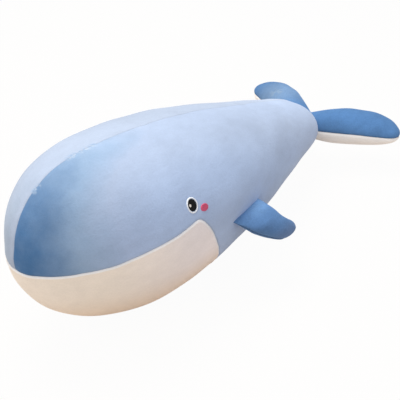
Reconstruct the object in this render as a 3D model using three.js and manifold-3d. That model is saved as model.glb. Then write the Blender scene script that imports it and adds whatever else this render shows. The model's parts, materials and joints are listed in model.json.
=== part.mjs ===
// Stuffed plush whale, lying on its belly. Millimetres, +Z up.
// The nose points along -Y and the whale's left side is +X. The origin is on the floor,
// below the middle of the whole toy.

import * as THREE from 'three';
import { mergeVertices } from 'three/addons/utils/BufferGeometryUtils.js';
import Module from 'manifold-3d';

const wasm = await Module();
wasm.setup();

// Body sizes
const bodyLength = 800; // nose to the round end of the tail
const bodyWidth = 304;
const bodyHeight = 330;
const noseLength = 260; // the rounded front stretch
const noseFullness = 2.45;
const tailEndRadius = 54; // the tail ends in a ball, seen from the side
const tailEndHalfWidth = 67;
const tailEndHeight = 117; // the ball's centre above the floor
const tailTopTaper = THREE.MathUtils.degToRad(30);
const tailKeelTaper = THREE.MathUtils.degToRad(10);
const tailSideTaper = THREE.MathUtils.degToRad(9.5);
const settleHeight = 5; // the belly below this height is eased flat by the toy's own weight
const bellyCut = 0.5; // the flat that it rests on

// Outlines of the body at evenly spaced stations from the nose, before the nose is rounded
const bodyStationShares = [0, 0.1, 0.2, 0.3, 0.4, 0.5, 0.6, 0.7, 0.8];
const bodySideShares = [0.75, 0.855, 0.94, 0.99, 0.994, 0.939, 0.835, 0.711, 0.592];
const bodyTopShares = [1.158, 1.083, 1.02, 0.977, 0.939, 0.888, 0.819, 0.743, 0.668];
const bodyKeelShares = [0.073, 0.039, 0.012, -0.008, -0.015, -0.009, 0.016, 0.059, 0.112];
const bodyMiddleShares = [0.596, 0.6, 0.599, 0.59, 0.568, 0.53, 0.478, 0.425, 0.38];

// Cloth and gaps
const plushThickness = 3;
const threadThickness = 1.2; // embroidery stands this far off the plush
const clearance = 0.3; // between pieces that touch
const overrun = 20; // how far cutting shapes pass the surfaces that they cut

// Chin panel, seen from the side
const chinLength = 352; // nose to the panel's rear edge under the belly
const mouthCornerHeight = 216;
const chinEdgeShares = [
  [0, 0.905], [0.14, 0.903], [0.27, 0.908], [0.4, 0.935], [0.53, 0.965], [0.63, 0.995], [0.7, 0.987],
  [0.755, 0.92], [0.79, 0.82], [0.83, 0.69], [0.875, 0.52], [0.93, 0.27], [1, 0],
];

// Eye and blush, placed on the side of the head
const eyeBack = 239; // from the nose
const eyeHeight = 242;
const eyeWidth = 26;
const eyeTall = 25;
const eyeRim = 3;
const highlightWidth = 6;
const highlightTall = 7.5;
const highlightForward = 4.2; // from the eye's middle towards the nose
const highlightUp = 1.6;
const blushBack = 261;
const blushHeight = 228;
const blushWidth = 16;
const blushTall = 13;

// Flippers
const flipperRootFront = 332; // where the root seam starts, from the nose
const flipperRootBack = 434;
const flipperFrontHeight = 157;
const flipperBackHeight = 150;
const flipperSpan = 86;
const flipperSweep = 72; // how far the tip lies behind the root
const flipperChord = 98;
const flipperThickness = 36;
const flipperRootThickness = 10;
const flipperSeamGap = 0.1; // from the root's rounded edge to the smooth skin
const flipperDroop = THREE.MathUtils.degToRad(45);
const flipperTipFullness = 5;
const flipperSweepShares = [0, 0.12, 0.31, 0.64, 1];
const flipperChordShares = [1, 0.9, 0.78, 0.76, 0.8];
const flipperPlumpShares = [0, 0.72, 0.97, 1, 0.95]; // of what the thickness gains from the root

// Tail fin
const flukeSpan = 390; // tip to tip
const flukeSweep = 93; // how far the tips lie behind the root
const flukeChord = 113;
const flukeTopThickness = 42;
const flukeUnderThickness = 38;
const flukeRootGap = 7; // the root's middle lies this far behind the tail's end
const flukeRootHeight = 102;
const flukeTilt = THREE.MathUtils.degToRad(6); // rear edge down
const flukeTipFullness = 4;
const flukeSweepShares = [0, 0.345, 0.7, 0.95, 1];
const flukeChordShares = [0.65, 0.88, 0.99, 0.99, 0.92];
const flukePlumpShares = [0.5, 0.9, 1, 0.98, 0.92];

// Roundness of a stuffed fin's section: 2 is an ellipse
const finSectionPower = 2.3;

// How finely the forms are cut into faces
const bodyFaces = { rings: 26, sides: 32 };
const bodyLiningFaces = { rings: 18, sides: 20 };
const flipperFaces = { rings: 11, sides: 14 };
const flipperLiningFaces = { rings: 7, sides: 10 };
const flukeFaces = { rings: 20, sides: 16 };
const flukeLiningFaces = { rings: 12, sides: 12 };
const tailEndFaces = { rings: 12, sides: 32 };
const patchFaces = { rings: 2, sides: 16 };
const chinEdgeSteps = 28;

const bodyBunching = 0.8; // how much closer the rings lie near the two ends
const finBunching = 0.6;
const finTipShare = 0.997; // the last ring of a fin, just short of its tip
const rootEdgeShares = [0.15, 0.45, 0.75, 1]; // rings round a flipper's half-round root
const slopeStepShare = 0.001; // a small step along the skin that its slope is taken over

const tailEndCentre = bodyLength - tailEndRadius;

function clothMaterial(color, roughness = 0.92) {
  return new THREE.MeshStandardMaterial({ color, roughness, metalness: 0 });
}

const lightBlue = 0x9db9e4;
const darkBlue = 0x5b8cc8;
const cream = 0xefe3da;
const fill = 0xf4f4f0;
const black = 0x15151a;
const white = 0xf7f7f5;
const pink = 0xe88aa8;

// A smooth line through the stations: each value has the slope of its neighbours,
// and the last one has a slope of its own if it is given
function smoothLine(places, values, endSlope) {
  const last = places.length - 1;
  const slopes = places.map((place, i) => {
    const before = Math.max(i - 1, 0);
    const after = Math.min(i + 1, last);
    return (values[after] - values[before]) / (places[after] - places[before]);
  });
  if (endSlope !== undefined) {
    slopes[last] = endSlope;
  }
  return (place) => {
    let i = 0;
    while (i < last - 1 && place > places[i + 1]) {
      i += 1;
    }
    const width = places[i + 1] - places[i];
    const t = (place - places[i]) / width;
    const start = values[i] + t * slopes[i] * width;
    const end = values[i + 1] - (1 - t) * slopes[i + 1] * width;
    const blend = t * t * (3 - 2 * t);
    return start + (end - start) * blend;
  };
}

// One outline of the body: stations from the nose, then a tangent run into the ball at the tail
function bodyLine(shares, size, ballHeight, ballSize, taper) {
  const touch = tailEndCentre + tailEndRadius * Math.sin(taper);
  const places = bodyStationShares.map((share) => share * bodyLength).concat(touch);
  const values = shares.map((share) => share * size).concat(ballHeight + ballSize * Math.cos(taper));
  const slope = -(ballSize / tailEndRadius) * Math.tan(taper);
  const line = smoothLine(places, values, slope);
  return (y) => {
    if (y < touch) {
      return line(y);
    }
    const along = (y - tailEndCentre) / tailEndRadius;
    return ballHeight + ballSize * Math.sqrt(Math.max(0, 1 - along * along));
  };
}

const sideLine = bodyLine(bodySideShares, bodyWidth / 2, 0, tailEndHalfWidth, tailSideTaper);
const topLine = bodyLine(bodyTopShares, bodyHeight, tailEndHeight, tailEndRadius, tailTopTaper);
const keelLine = bodyLine(bodyKeelShares, bodyHeight, tailEndHeight, -tailEndRadius, tailKeelTaper);
const middlePlaces = bodyStationShares.map((share) => share * bodyLength).concat(tailEndCentre);
const middleHeights = bodyMiddleShares.map((share) => share * bodyHeight).concat(tailEndHeight);
const middleCurve = smoothLine(middlePlaces, middleHeights, 0);

function middleLine(y) {
  return middleCurve(Math.min(y, tailEndCentre));
}

function noseRounding(y) {
  if (y >= noseLength) {
    return 1;
  }
  return Math.sqrt(Math.max(0, 1 - (1 - y / noseLength) ** noseFullness));
}

// The lowest stretch of the belly spreads on the floor
function settled(z) {
  if (z > settleHeight) {
    return z;
  }
  const above = Math.max(0, z + settleHeight);
  return (above * above) / (4 * settleHeight);
}

// A point of the body's skin, `inset` under its outer face
function bodyPoint(y, angle, inset = 0) {
  const rounding = noseRounding(y);
  const middle = middleLine(y);
  const halfWidth = sideLine(y) * rounding;
  const edge = Math.sin(angle) >= 0 ? topLine(y) : keelLine(y);
  const rise = (edge - middle) * rounding * Math.abs(Math.sin(angle));
  const radius = Math.max(Math.abs(edge - middle) * rounding, inset);
  const x = halfWidth * Math.cos(angle);
  const z = settled(middle + rise) - bellyCut;
  const widthScale = halfWidth > inset ? (halfWidth - inset) / halfWidth : 0;
  const heightScale = radius > inset ? (radius - inset) / radius : 0;
  const shortened = inset + (y * (bodyLength - 2 * inset)) / bodyLength;
  return new THREE.Vector3(x * widthScale, shortened, middle + (z - middle) * heightScale);
}

// The body's outward direction at a point of its skin
function bodyNormal(y, angle) {
  const step = slopeStepShare;
  const along = bodyPoint(y * (1 + step), angle).sub(bodyPoint(y * (1 - step), angle));
  const around = bodyPoint(y, angle + step).sub(bodyPoint(y, angle - step));
  return along.cross(around).normalize();
}

// Rings of points joined into one closed form, with a point or a flat cap at each end
function joinRings(rings) {
  const sides = rings[0].length;
  const positions = rings.flat();
  const faces = [];
  for (let r = 0; r < rings.length - 1; r += 1) {
    for (let s = 0; s < sides; s += 1) {
      const next = (s + 1) % sides;
      const a = r * sides + s;
      const b = r * sides + next;
      const c = a + sides;
      const d = b + sides;
      faces.push(a, b, d, a, d, c);
    }
  }
  const lastRing = (rings.length - 1) * sides;
  for (const [start, turn] of [[0, -1], [lastRing, 1]]) {
    const centre = new THREE.Vector3();
    for (let s = 0; s < sides; s += 1) {
      centre.addScaledVector(positions[start + s], 1 / sides);
    }
    positions.push(centre);
    for (let s = 0; s < sides; s += 1) {
      const next = (s + 1) % sides;
      const [from, to] = turn > 0 ? [s, next] : [next, s];
      faces.push(start + from, start + to, positions.length - 1);
    }
  }
  const geometry = new THREE.BufferGeometry().setFromPoints(positions);
  geometry.setIndex(faces);
  return geometry;
}

// A closed form as a solid that can be cut and joined
function toSolid(geometry) {
  const plain = geometry.clone();
  plain.deleteAttribute('normal');
  plain.deleteAttribute('uv');
  const merged = mergeVertices(plain);
  const mesh = new wasm.Mesh({
    numProp: 3,
    vertProperties: Float32Array.from(merged.attributes.position.array),
    triVerts: Uint32Array.from(merged.index.array),
  });
  return new wasm.Manifold(mesh);
}

function toGeometry(solid) {
  const mesh = solid.getMesh();
  const geometry = new THREE.BufferGeometry();
  geometry.setAttribute('position', new THREE.BufferAttribute(mesh.vertProperties, 3));
  geometry.setIndex(new THREE.BufferAttribute(mesh.triVerts, 1));
  geometry.computeVertexNormals();
  return geometry;
}

// A box between two corners
function block(low, high) {
  const size = new THREE.Vector3().subVectors(high, low);
  const centre = new THREE.Vector3().addVectors(low, high).multiplyScalar(0.5);
  const geometry = new THREE.BoxGeometry(size.x, size.y, size.z);
  geometry.translate(centre.x, centre.y, centre.z);
  return toSolid(geometry);
}

// One ring of points, one for each turn round the form
function ringOf(sides, pointAt) {
  return Array.from({ length: sides }, (_, side) => pointAt((2 * Math.PI * side) / sides));
}

// Places along a form, closer together at its two rounded ends
function ringPlaces(count, ends) {
  const places = [];
  for (let i = 1; i < count; i += 1) {
    const even = i / count;
    const bunched = (1 - Math.cos(Math.PI * even)) / 2;
    places.push(even * (1 - ends) + bunched * ends);
  }
  return places;
}

// The body's form from nose to tail, `inset` under the outer face of the plush
function bodyForm(faces, inset) {
  const places = [0, ...ringPlaces(faces.rings, bodyBunching), 1];
  const rings = places.map((place) => {
    const y = place * bodyLength;
    return ringOf(faces.sides, (turn) => bodyPoint(y, turn, inset)).reverse();
  });
  const form = toSolid(joinRings(rings));
  const floor = block(
    new THREE.Vector3(-bodyWidth, -overrun, -bodyHeight),
    new THREE.Vector3(bodyWidth, bodyLength + overrun, inset),
  );
  return form.subtract(floor);
}

// The region of the chin panel as a prism across the body, its edge drawn in by `inset`
function chinPrism(inset) {
  const points = chinEdgeShares.map(([back, up]) => {
    return new THREE.Vector2(back * chinLength - inset, up * mouthCornerHeight - inset);
  });
  const edge = new THREE.SplineCurve(points).getPoints(chinEdgeSteps);
  const first = edge[0];
  const last = edge[edge.length - 1];
  const outline = new THREE.Shape([
    new THREE.Vector2(-overrun, -overrun),
    new THREE.Vector2(last.x, -overrun),
    ...edge.reverse(),
    new THREE.Vector2(-overrun, first.y),
  ]);
  const prism = new THREE.ExtrudeGeometry(outline, { depth: bodyWidth + 2 * overrun, bevelEnabled: false });
  prism.translate(0, 0, -bodyWidth / 2 - overrun);
  const sideways = new THREE.Matrix4().makeBasis(
    new THREE.Vector3(0, 1, 0),
    new THREE.Vector3(0, 0, 1),
    new THREE.Vector3(1, 0, 0),
  );
  prism.applyMatrix4(sideways);
  return toSolid(prism);
}

function sideBlock(side) {
  const near = clearance / 2;
  const far = bodyWidth;
  return block(
    new THREE.Vector3(side > 0 ? near : -far, -overrun, -overrun),
    new THREE.Vector3(side > 0 ? far : -near, bodyLength + overrun, 2 * bodyHeight),
  );
}

// The angle around the body's section at which its skin reaches a height
function angleAtHeight(y, height) {
  const middle = middleLine(y);
  const edge = height > middle ? topLine(y) : keelLine(y);
  const lift = (height + bellyCut - middle) / (Math.abs(edge - middle) * noseRounding(y));
  return Math.asin(lift);
}

// An embroidered oval that follows the body's left side. Its middle lies `back` from the nose
// and at `height`, shifted by `forward` and `up` along the skin
function patch(spot, width, tall, low, high) {
  const { back, height, forward = 0, up = 0 } = spot;
  const angle = angleAtHeight(back, height);
  const step = slopeStepShare;
  const alongStep = bodyPoint(back * (1 + step), angle).sub(bodyPoint(back, angle));
  const aroundStep = bodyPoint(back, angle + step).sub(bodyPoint(back, angle));
  const normal = bodyNormal(back, angle);
  const level = new THREE.Vector3(0, 0, 1).cross(normal).normalize();
  const upward = normal.clone().cross(level);
  const solve = (u, v) => {
    const offset = level.clone().multiplyScalar(u).addScaledVector(upward, v);
    const aa = alongStep.dot(alongStep);
    const ab = alongStep.dot(aroundStep);
    const bb = aroundStep.dot(aroundStep);
    const pa = offset.dot(alongStep);
    const pb = offset.dot(aroundStep);
    const det = aa * bb - ab * ab;
    const a = (pa * bb - pb * ab) / det;
    const b = (pb * aa - pa * ab) / det;
    return [back * (1 + a * step), angle + b * step];
  };
  const pointAt = (ring, turn, lift) => {
    const reach = ring / patchFaces.rings;
    const u = -forward + (width / 2) * reach * Math.cos(turn);
    const v = up + (tall / 2) * reach * Math.sin(turn);
    const [y, around] = solve(u, v);
    return bodyPoint(y, around).addScaledVector(bodyNormal(y, around), lift);
  };
  const rings = [];
  for (let ring = 1; ring <= patchFaces.rings; ring += 1) {
    rings.push(ringOf(patchFaces.sides, (turn) => pointAt(ring, turn, low)));
  }
  for (let ring = patchFaces.rings; ring >= 1; ring -= 1) {
    rings.push(ringOf(patchFaces.sides, (turn) => pointAt(ring, turn, high)));
  }
  return toSolid(joinRings(rings));
}

const threadLow = clearance;
const threadHigh = clearance + threadThickness;

function threadOval(spot, width, tall) {
  return patch(spot, width, tall, threadLow, threadHigh);
}

// The hole that leaves a neighbour clear of a threaded oval
function threadHole(spot, width, tall) {
  const grow = 2 * clearance;
  return patch(spot, width + grow, tall + grow, 0, threadHigh + threadThickness);
}

function eyePieces() {
  const eye = { back: eyeBack, height: eyeHeight };
  const glint = { ...eye, forward: highlightForward, up: highlightUp };
  const pupilWidth = eyeWidth - 2 * eyeRim;
  const pupilTall = eyeTall - 2 * eyeRim;
  const whiteRing = threadOval(eye, eyeWidth, eyeTall).subtract(threadHole(eye, pupilWidth, pupilTall));
  const hole = threadHole(glint, highlightWidth, highlightTall);
  const pupil = threadOval(eye, pupilWidth, pupilTall).subtract(hole);
  const highlight = threadOval(glint, highlightWidth, highlightTall);
  return { white: whiteRing, pupil, highlight };
}

function blushPatch() {
  return threadOval({ back: blushBack, height: blushHeight }, blushWidth, blushTall);
}

// One point round a fin's section: along the chord and out of its plane
function finSectionPoint(turn, halfChord, topHalf, underHalf) {
  const round = (value) => Math.sign(value) * Math.abs(value) ** (2 / finSectionPower);
  const lift = round(Math.sin(turn));
  return [halfChord * round(Math.cos(turn)), lift * (lift > 0 ? topHalf : underHalf)];
}

const quarterPlaces = [0, 0.25, 0.5, 0.75, 1];
const flipperSweepLine = smoothLine(quarterPlaces, flipperSweepShares);
const flipperChordLine = smoothLine(quarterPlaces, flipperChordShares);
const flipperPlumpLine = smoothLine(quarterPlaces, flipperPlumpShares);
const flukeSweepLine = smoothLine(quarterPlaces, flukeSweepShares);
const flukeChordLine = smoothLine(quarterPlaces, flukeChordShares);
const flukePlumpLine = smoothLine(quarterPlaces, flukePlumpShares);

function tipRounding(share, fullness) {
  return Math.sqrt(Math.max(0, 1 - share ** fullness));
}

// A stuffed flipper in its own frame: the root seam lies along X, the span along -Y.
// The root is a half-round edge about the seam, which is also the line that it flaps on
function flipperForm(faces, inset) {
  const bead = flipperRootThickness / 2 - inset;
  const reach = flipperSpan - inset;
  const rings = [];
  const addRing = (share, across, thin) => {
    const cap = tipRounding(share, flipperTipFullness);
    const gained = (flipperThickness - flipperRootThickness) / 2;
    const plump = flipperRootThickness / 2 + gained * flipperPlumpLine(share);
    const halfChord = Math.max((flipperChord / 2) * flipperChordLine(share) * cap - inset, inset / 2);
    const half = Math.max(plump * cap - inset, inset / 2) * thin;
    const sweep = flipperSweep * flipperSweepLine(share);
    const ring = ringOf(faces.sides, (turn) => {
      const [x, z] = finSectionPoint(turn, halfChord, half, half);
      return new THREE.Vector3(sweep + x, -across, z);
    });
    rings.push(ring);
  };
  for (const share of rootEdgeShares) {
    const turn = (Math.PI / 2) * share;
    addRing(0, -bead * Math.cos(turn), Math.sin(turn));
  }
  for (const share of ringPlaces(faces.rings, finBunching)) {
    addRing(share, share * reach, 1);
  }
  addRing(finTipShare, reach, 1);
  return toSolid(joinRings(rings));
}

// The tail fin's form in its own frame: tip to tip along X, rear edge towards +Y
function flukeForm(faces, inset) {
  const halfSpan = flukeSpan / 2 - inset;
  const rings = [0, ...ringPlaces(faces.rings, finBunching), 1].map((place) => {
    const across = 2 * place - 1;
    const share = Math.min(Math.abs(across), finTipShare);
    const cap = tipRounding(share, flukeTipFullness);
    const halfChord = Math.max((flukeChord / 2) * flukeChordLine(share) * cap - inset, inset / 2);
    const plump = flukePlumpLine(share) * cap;
    const topHalf = Math.max(flukeTopThickness * plump - inset, inset / 2);
    const underHalf = Math.max(flukeUnderThickness * plump - inset, inset / 2);
    const sweep = flukeSweep * flukeSweepLine(share);
    return ringOf(faces.sides, (turn) => {
      const [y, z] = finSectionPoint(turn, halfChord, topHalf, underHalf);
      return new THREE.Vector3(across * halfSpan, sweep + y, z);
    });
  });
  return toSolid(joinRings(rings));
}

// Halves of a fin's shell above and below its seam
function seamHalf(solid, side, reach) {
  const near = clearance / 2;
  const half = block(
    new THREE.Vector3(-reach, -reach, side > 0 ? near : -reach),
    new THREE.Vector3(reach, reach, side > 0 ? reach : -near),
  );
  return solid.intersect(half);
}

function transformed(solid, matrix) {
  const geometry = toGeometry(solid);
  geometry.applyMatrix4(matrix);
  return toSolid(geometry);
}

function finPieces(form, faces, liningFaces, reach) {
  const shell = form(faces, 0).subtract(form(liningFaces, plushThickness));
  return {
    top: seamHalf(shell, 1, reach),
    under: seamHalf(shell, -1, reach),
    stuffing: form(liningFaces, plushThickness + clearance),
  };
}

// Where the left flipper's root seam lies: just off the body's side, parallel to the skin there
function flipperFrame() {
  const skinAt = (share) => {
    const y = THREE.MathUtils.lerp(flipperRootFront, flipperRootBack, share);
    const height = THREE.MathUtils.lerp(flipperFrontHeight, flipperBackHeight, share);
    return { y, angle: angleAtHeight(y, height), point: bodyPoint(y, angleAtHeight(y, height)) };
  };
  const front = skinAt(0);
  const middle = skinAt(0.5);
  const back = skinAt(1);
  const along = back.point.clone().sub(front.point).normalize();
  const out = bodyNormal(middle.y, middle.angle);
  out.addScaledVector(along, -out.dot(along)).normalize();
  const bulge = middle.point.clone().sub(front.point).dot(out);
  const down = along.clone().cross(out);
  if (down.z > 0) {
    down.negate();
  }
  const inward = out.clone().multiplyScalar(-Math.cos(flipperDroop));
  inward.addScaledVector(down, -Math.sin(flipperDroop));
  const across = along.clone().cross(inward);
  const standOff = bulge + flipperRootThickness / 2 + flipperSeamGap;
  const seam = front.point.clone().add(back.point).multiplyScalar(0.5).addScaledVector(out, standOff);
  return new THREE.Matrix4().makeBasis(along, inward, across).setPosition(seam);
}

// The tail fin's place behind the tail
function flukeFrame() {
  const tilt = new THREE.Matrix4().makeRotationX(-flukeTilt);
  return tilt.setPosition(0, bodyLength + flukeRootGap, flukeRootHeight);
}

function mirrored(solid) {
  const geometry = toGeometry(solid);
  geometry.applyMatrix4(new THREE.Matrix4().makeScale(-1, 1, 1));
  const index = geometry.index.array;
  for (let i = 0; i < index.length; i += 3) {
    [index[i], index[i + 1]] = [index[i + 1], index[i]];
  }
  return toSolid(geometry);
}

const whale = new THREE.Group();

function addPiece(name, solid, material) {
  const mesh = new THREE.Mesh(toGeometry(solid), material);
  mesh.name = name;
  whale.add(mesh);
}

function addBody() {
  const skin = bodyForm(bodyFaces, 0).subtract(bodyForm(bodyLiningFaces, plushThickness));
  const stuffing = bodyForm(bodyLiningFaces, plushThickness + clearance);
  const chin = skin.intersect(chinPrism(clearance));
  const back = skin.subtract(chinPrism(0));
  addPiece('chin_panel', chin, clothMaterial(cream));
  addPiece('back_panel_left', back.intersect(sideBlock(1)), clothMaterial(lightBlue));
  addPiece('back_panel_right', back.intersect(sideBlock(-1)), clothMaterial(lightBlue));
  addPiece('body_stuffing', stuffing, clothMaterial(fill));
}

function addFaces() {
  const eye = eyePieces();
  const blush = blushPatch();
  const colours = { white, pupil: black, highlight: white };
  for (const [piece, solid] of Object.entries(eye)) {
    addPiece(`eye_left_${piece}`, solid, clothMaterial(colours[piece], 0.6));
    addPiece(`eye_right_${piece}`, mirrored(solid), clothMaterial(colours[piece], 0.6));
  }
  addPiece('blush_left', blush, clothMaterial(pink, 0.7));
  addPiece('blush_right', mirrored(blush), clothMaterial(pink, 0.7));
}

function addFlippers() {
  const reach = flipperSpan + flipperSweep + flipperChord;
  const pieces = finPieces(flipperForm, flipperFaces, flipperLiningFaces, reach);
  const frame = flipperFrame();
  for (const [piece, solid] of Object.entries(pieces)) {
    const placed = transformed(solid, frame);
    const material = clothMaterial(piece === 'stuffing' ? fill : darkBlue);
    addPiece(`flipper_left_${piece}`, placed, material);
    addPiece(`flipper_right_${piece}`, mirrored(placed), material.clone());
  }
}

// The tail's round end with room for the fin that is sewn to it. It is round about the line
// that the fin swings on, so the fin slides over it. Its flat faces lie outside the true ball
function tailEndRoom() {
  const outside = 1 / (Math.cos(Math.PI / tailEndFaces.sides) * Math.cos(Math.PI / (2 * tailEndFaces.rings)));
  const ball = new THREE.SphereGeometry(outside, tailEndFaces.sides, tailEndFaces.rings);
  ball.rotateZ(Math.PI / 2);
  ball.scale(tailEndHalfWidth + clearance, tailEndRadius + clearance, tailEndRadius + clearance);
  ball.translate(0, tailEndCentre, tailEndHeight - bellyCut);
  return toSolid(ball);
}

function addFluke() {
  const pieces = finPieces(flukeForm, flukeFaces, flukeLiningFaces, flukeSpan);
  const frame = flukeFrame();
  const room = tailEndRoom();
  const colours = { top: darkBlue, under: cream, stuffing: fill };
  for (const [piece, solid] of Object.entries(pieces)) {
    const placed = transformed(solid, frame).subtract(room);
    addPiece(`fluke_${piece}`, placed, clothMaterial(colours[piece]));
  }
}

addBody();
addFaces();
addFlippers();
addFluke();

const bounds = new THREE.Box3().setFromObject(whale);
whale.position.y = -(bounds.min.y + bounds.max.y) / 2;

export default whale;
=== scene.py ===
import json
import math
from dataclasses import dataclass

import bpy
import numpy as np
from mathutils import Matrix, Vector
from mathutils.bvhtree import BVHTree
from mathutils.kdtree import KDTree


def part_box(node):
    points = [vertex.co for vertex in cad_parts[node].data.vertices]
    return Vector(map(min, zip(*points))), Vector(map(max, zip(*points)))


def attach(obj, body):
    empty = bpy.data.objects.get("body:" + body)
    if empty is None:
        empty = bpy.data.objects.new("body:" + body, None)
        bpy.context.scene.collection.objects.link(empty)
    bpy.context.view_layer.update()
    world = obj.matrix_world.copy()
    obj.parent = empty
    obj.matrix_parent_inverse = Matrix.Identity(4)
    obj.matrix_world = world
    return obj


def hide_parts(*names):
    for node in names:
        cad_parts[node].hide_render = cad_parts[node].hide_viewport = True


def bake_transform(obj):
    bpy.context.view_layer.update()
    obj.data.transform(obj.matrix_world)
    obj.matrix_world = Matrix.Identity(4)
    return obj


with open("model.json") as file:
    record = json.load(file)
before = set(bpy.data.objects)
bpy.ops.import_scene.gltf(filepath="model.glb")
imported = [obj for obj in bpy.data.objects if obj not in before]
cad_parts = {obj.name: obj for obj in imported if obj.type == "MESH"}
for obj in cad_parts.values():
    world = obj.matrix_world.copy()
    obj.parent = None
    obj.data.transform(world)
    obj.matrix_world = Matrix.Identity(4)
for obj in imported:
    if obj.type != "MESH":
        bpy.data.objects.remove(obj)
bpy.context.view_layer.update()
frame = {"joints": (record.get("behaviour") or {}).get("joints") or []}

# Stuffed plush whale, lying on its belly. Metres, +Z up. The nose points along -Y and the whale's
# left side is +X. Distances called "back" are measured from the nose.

TINY = 1e-9  # keeps a division off 0
SIDES = ((1, "left"), (-1, "right"))

back_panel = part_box("back_panel_left")
nose_y = back_panel[0].y

# Body sizes
BODY_LENGTH = back_panel[1].y - nose_y
BODY_WIDTH = 0.304
BODY_HEIGHT = 0.330
NOSE_LENGTH = 0.260
NOSE_FULLNESS = 2.45
TAIL_END_RADIUS = 0.054
TAIL_END_CENTRE = BODY_LENGTH - TAIL_END_RADIUS
TAIL_END_HALF_WIDTH = 0.067
TAIL_END_HEIGHT = 0.117
TAIL_TOP_TAPER = math.radians(30)
TAIL_KEEL_TAPER = math.radians(10)
TAIL_SIDE_TAPER = math.radians(9.5)
SETTLE_HEIGHT = 0.005  # below this the belly is eased flat by the toy's own weight
BELLY_CUT = 0.0005

# Outlines of the body at evenly spaced stations from the nose, before the nose is rounded
STATION_SHARES = np.linspace(0, 0.8, 9)
SIDE_SHARES = (0.75, 0.855, 0.94, 0.99, 0.994, 0.939, 0.835, 0.711, 0.592)
TOP_SHARES = (1.158, 1.083, 1.02, 0.977, 0.939, 0.888, 0.819, 0.743, 0.668)
KEEL_SHARES = (0.073, 0.039, 0.012, -0.008, -0.015, -0.009, 0.016, 0.059, 0.112)
MIDDLE_SHARES = (0.596, 0.6, 0.599, 0.59, 0.568, 0.53, 0.478, 0.425, 0.38)

# Chin panel, seen from the side
CHIN_LENGTH = 0.352
MOUTH_CORNER_HEIGHT = 0.216
CHIN_EDGE_SHARES = (
    (0, 0.905), (0.14, 0.905), (0.27, 0.915), (0.4, 0.943), (0.53, 0.968), (0.63, 0.988), (0.685, 1),
    (0.715, 0.975), (0.75, 0.9), (0.785, 0.81), (0.825, 0.685), (0.865, 0.56), (0.905, 0.43),
    (0.95, 0.23), (1, 0),
)
CHIN_EDGE_STEPS = 24  # between two of those points
MOUTH_CORNER_SHARE = 0.68  # of the chin's length, where the mouth line is highest
MOUTH_TILT_LIMIT = 0.25  # in radians, how far the cells turn to follow the mouth line

# Flippers
FLIPPER_SPAN = 0.083
FLIPPER_SWEEP = 0.066
FLIPPER_CHORD = 0.098
FLIPPER_THICKNESS = 0.036
FLIPPER_ROOT_THICKNESS = 0.010
FLIPPER_DROOP = math.radians(45)
FLIPPER_TIP_FULLNESS = 6.5
FLIPPER_SWEEP_SHARES = (0, 0.13, 0.34, 0.7, 1)
FLIPPER_CHORD_SHARES = (1, 0.9, 0.78, 0.76, 0.8)
FLIPPER_PLUMP_SHARES = (0, 0.84, 1, 1, 0.95)
FLIPPER_ARCH = 0.006  # the flipper leaves the body level and droops further out
FLIPPER_ARCH_POWER = 0.7  # below 1, the arch is highest nearer the root

# Flippers' roots
ROOT_DENT_DEPTH = 0.0022
ROOT_DENT_WIDTH = 0.0075
ROOT_DIMPLE_DEPTH = 0.0040  # at the rear end of the root
ROOT_DIMPLE_WIDTH = 0.0090
ROOT_SINK = 0.0010
ROOT_FIT_SPAN = 0.030  # the root's fit to the skin fades out over this much of the span
ROOT_FIT_PLACES = 25
ROOT_LIGHT_SPAN = 0.008  # the upper side has no painted seam shade this close to the root

# Tail fin
FLUKE_SPAN = 0.390
FLUKE_SWEEP = 0.093
FLUKE_CHORD = 0.113
FLUKE_TOP_THICKNESS = 0.042
FLUKE_UNDER_THICKNESS = 0.038
FLUKE_ROOT_GAP = 0.007
FLUKE_ROOT_HEIGHT = 0.102
FLUKE_TILT = math.radians(6)
FLUKE_TIP_FULLNESS = 4
FLUKE_SWEEP_SHARES = (0, 0.345, 0.7, 0.95, 1)
FLUKE_CHORD_SHARES = (0.78, 0.93, 0.99, 0.99, 0.92)
FLUKE_PLUMP_SHARES = (0.5, 0.9, 1, 0.98, 0.92)
FIN_SECTION_POWER = 2.3  # 2 is an ellipse
FIN_TIP_SHARE = 0.9994  # the last ring of a fin, just short of its tip
QUARTER_SHARES = (0, 0.25, 0.5, 0.75, 1)

# Places at a joint, passed along with the cloth that crosses it
BODY_BLEND = (0.205, 0.306)  # two places along Y on the tail, at the fin's joint
FLIPPER_BLEND = 0.022  # this much of the flipper's span from its root

# Cells of the forms before they are subdivided
BODY_CELLS = (36, 84, 36)  # across, along, up
FILL_CELLS = (16, 36, 16)
FLIPPER_CELLS = (22, 36)  # rings, sides
FLUKE_CELLS = (56, 36)
SEAM_CROWDING = 1.25  # above 1, cells lie closer together at the seams
CAP_SHARE = 0.09  # how much of the outline the two end caps give to the sides
RING_BUNCHING = 0.6  # how much a fin's rings crowd towards its ends, from 0 to 1
BEAD_TURNS = np.linspace(0.15, 1, 4)  # of a quarter turn, the rings that round a flipper's root

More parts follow.
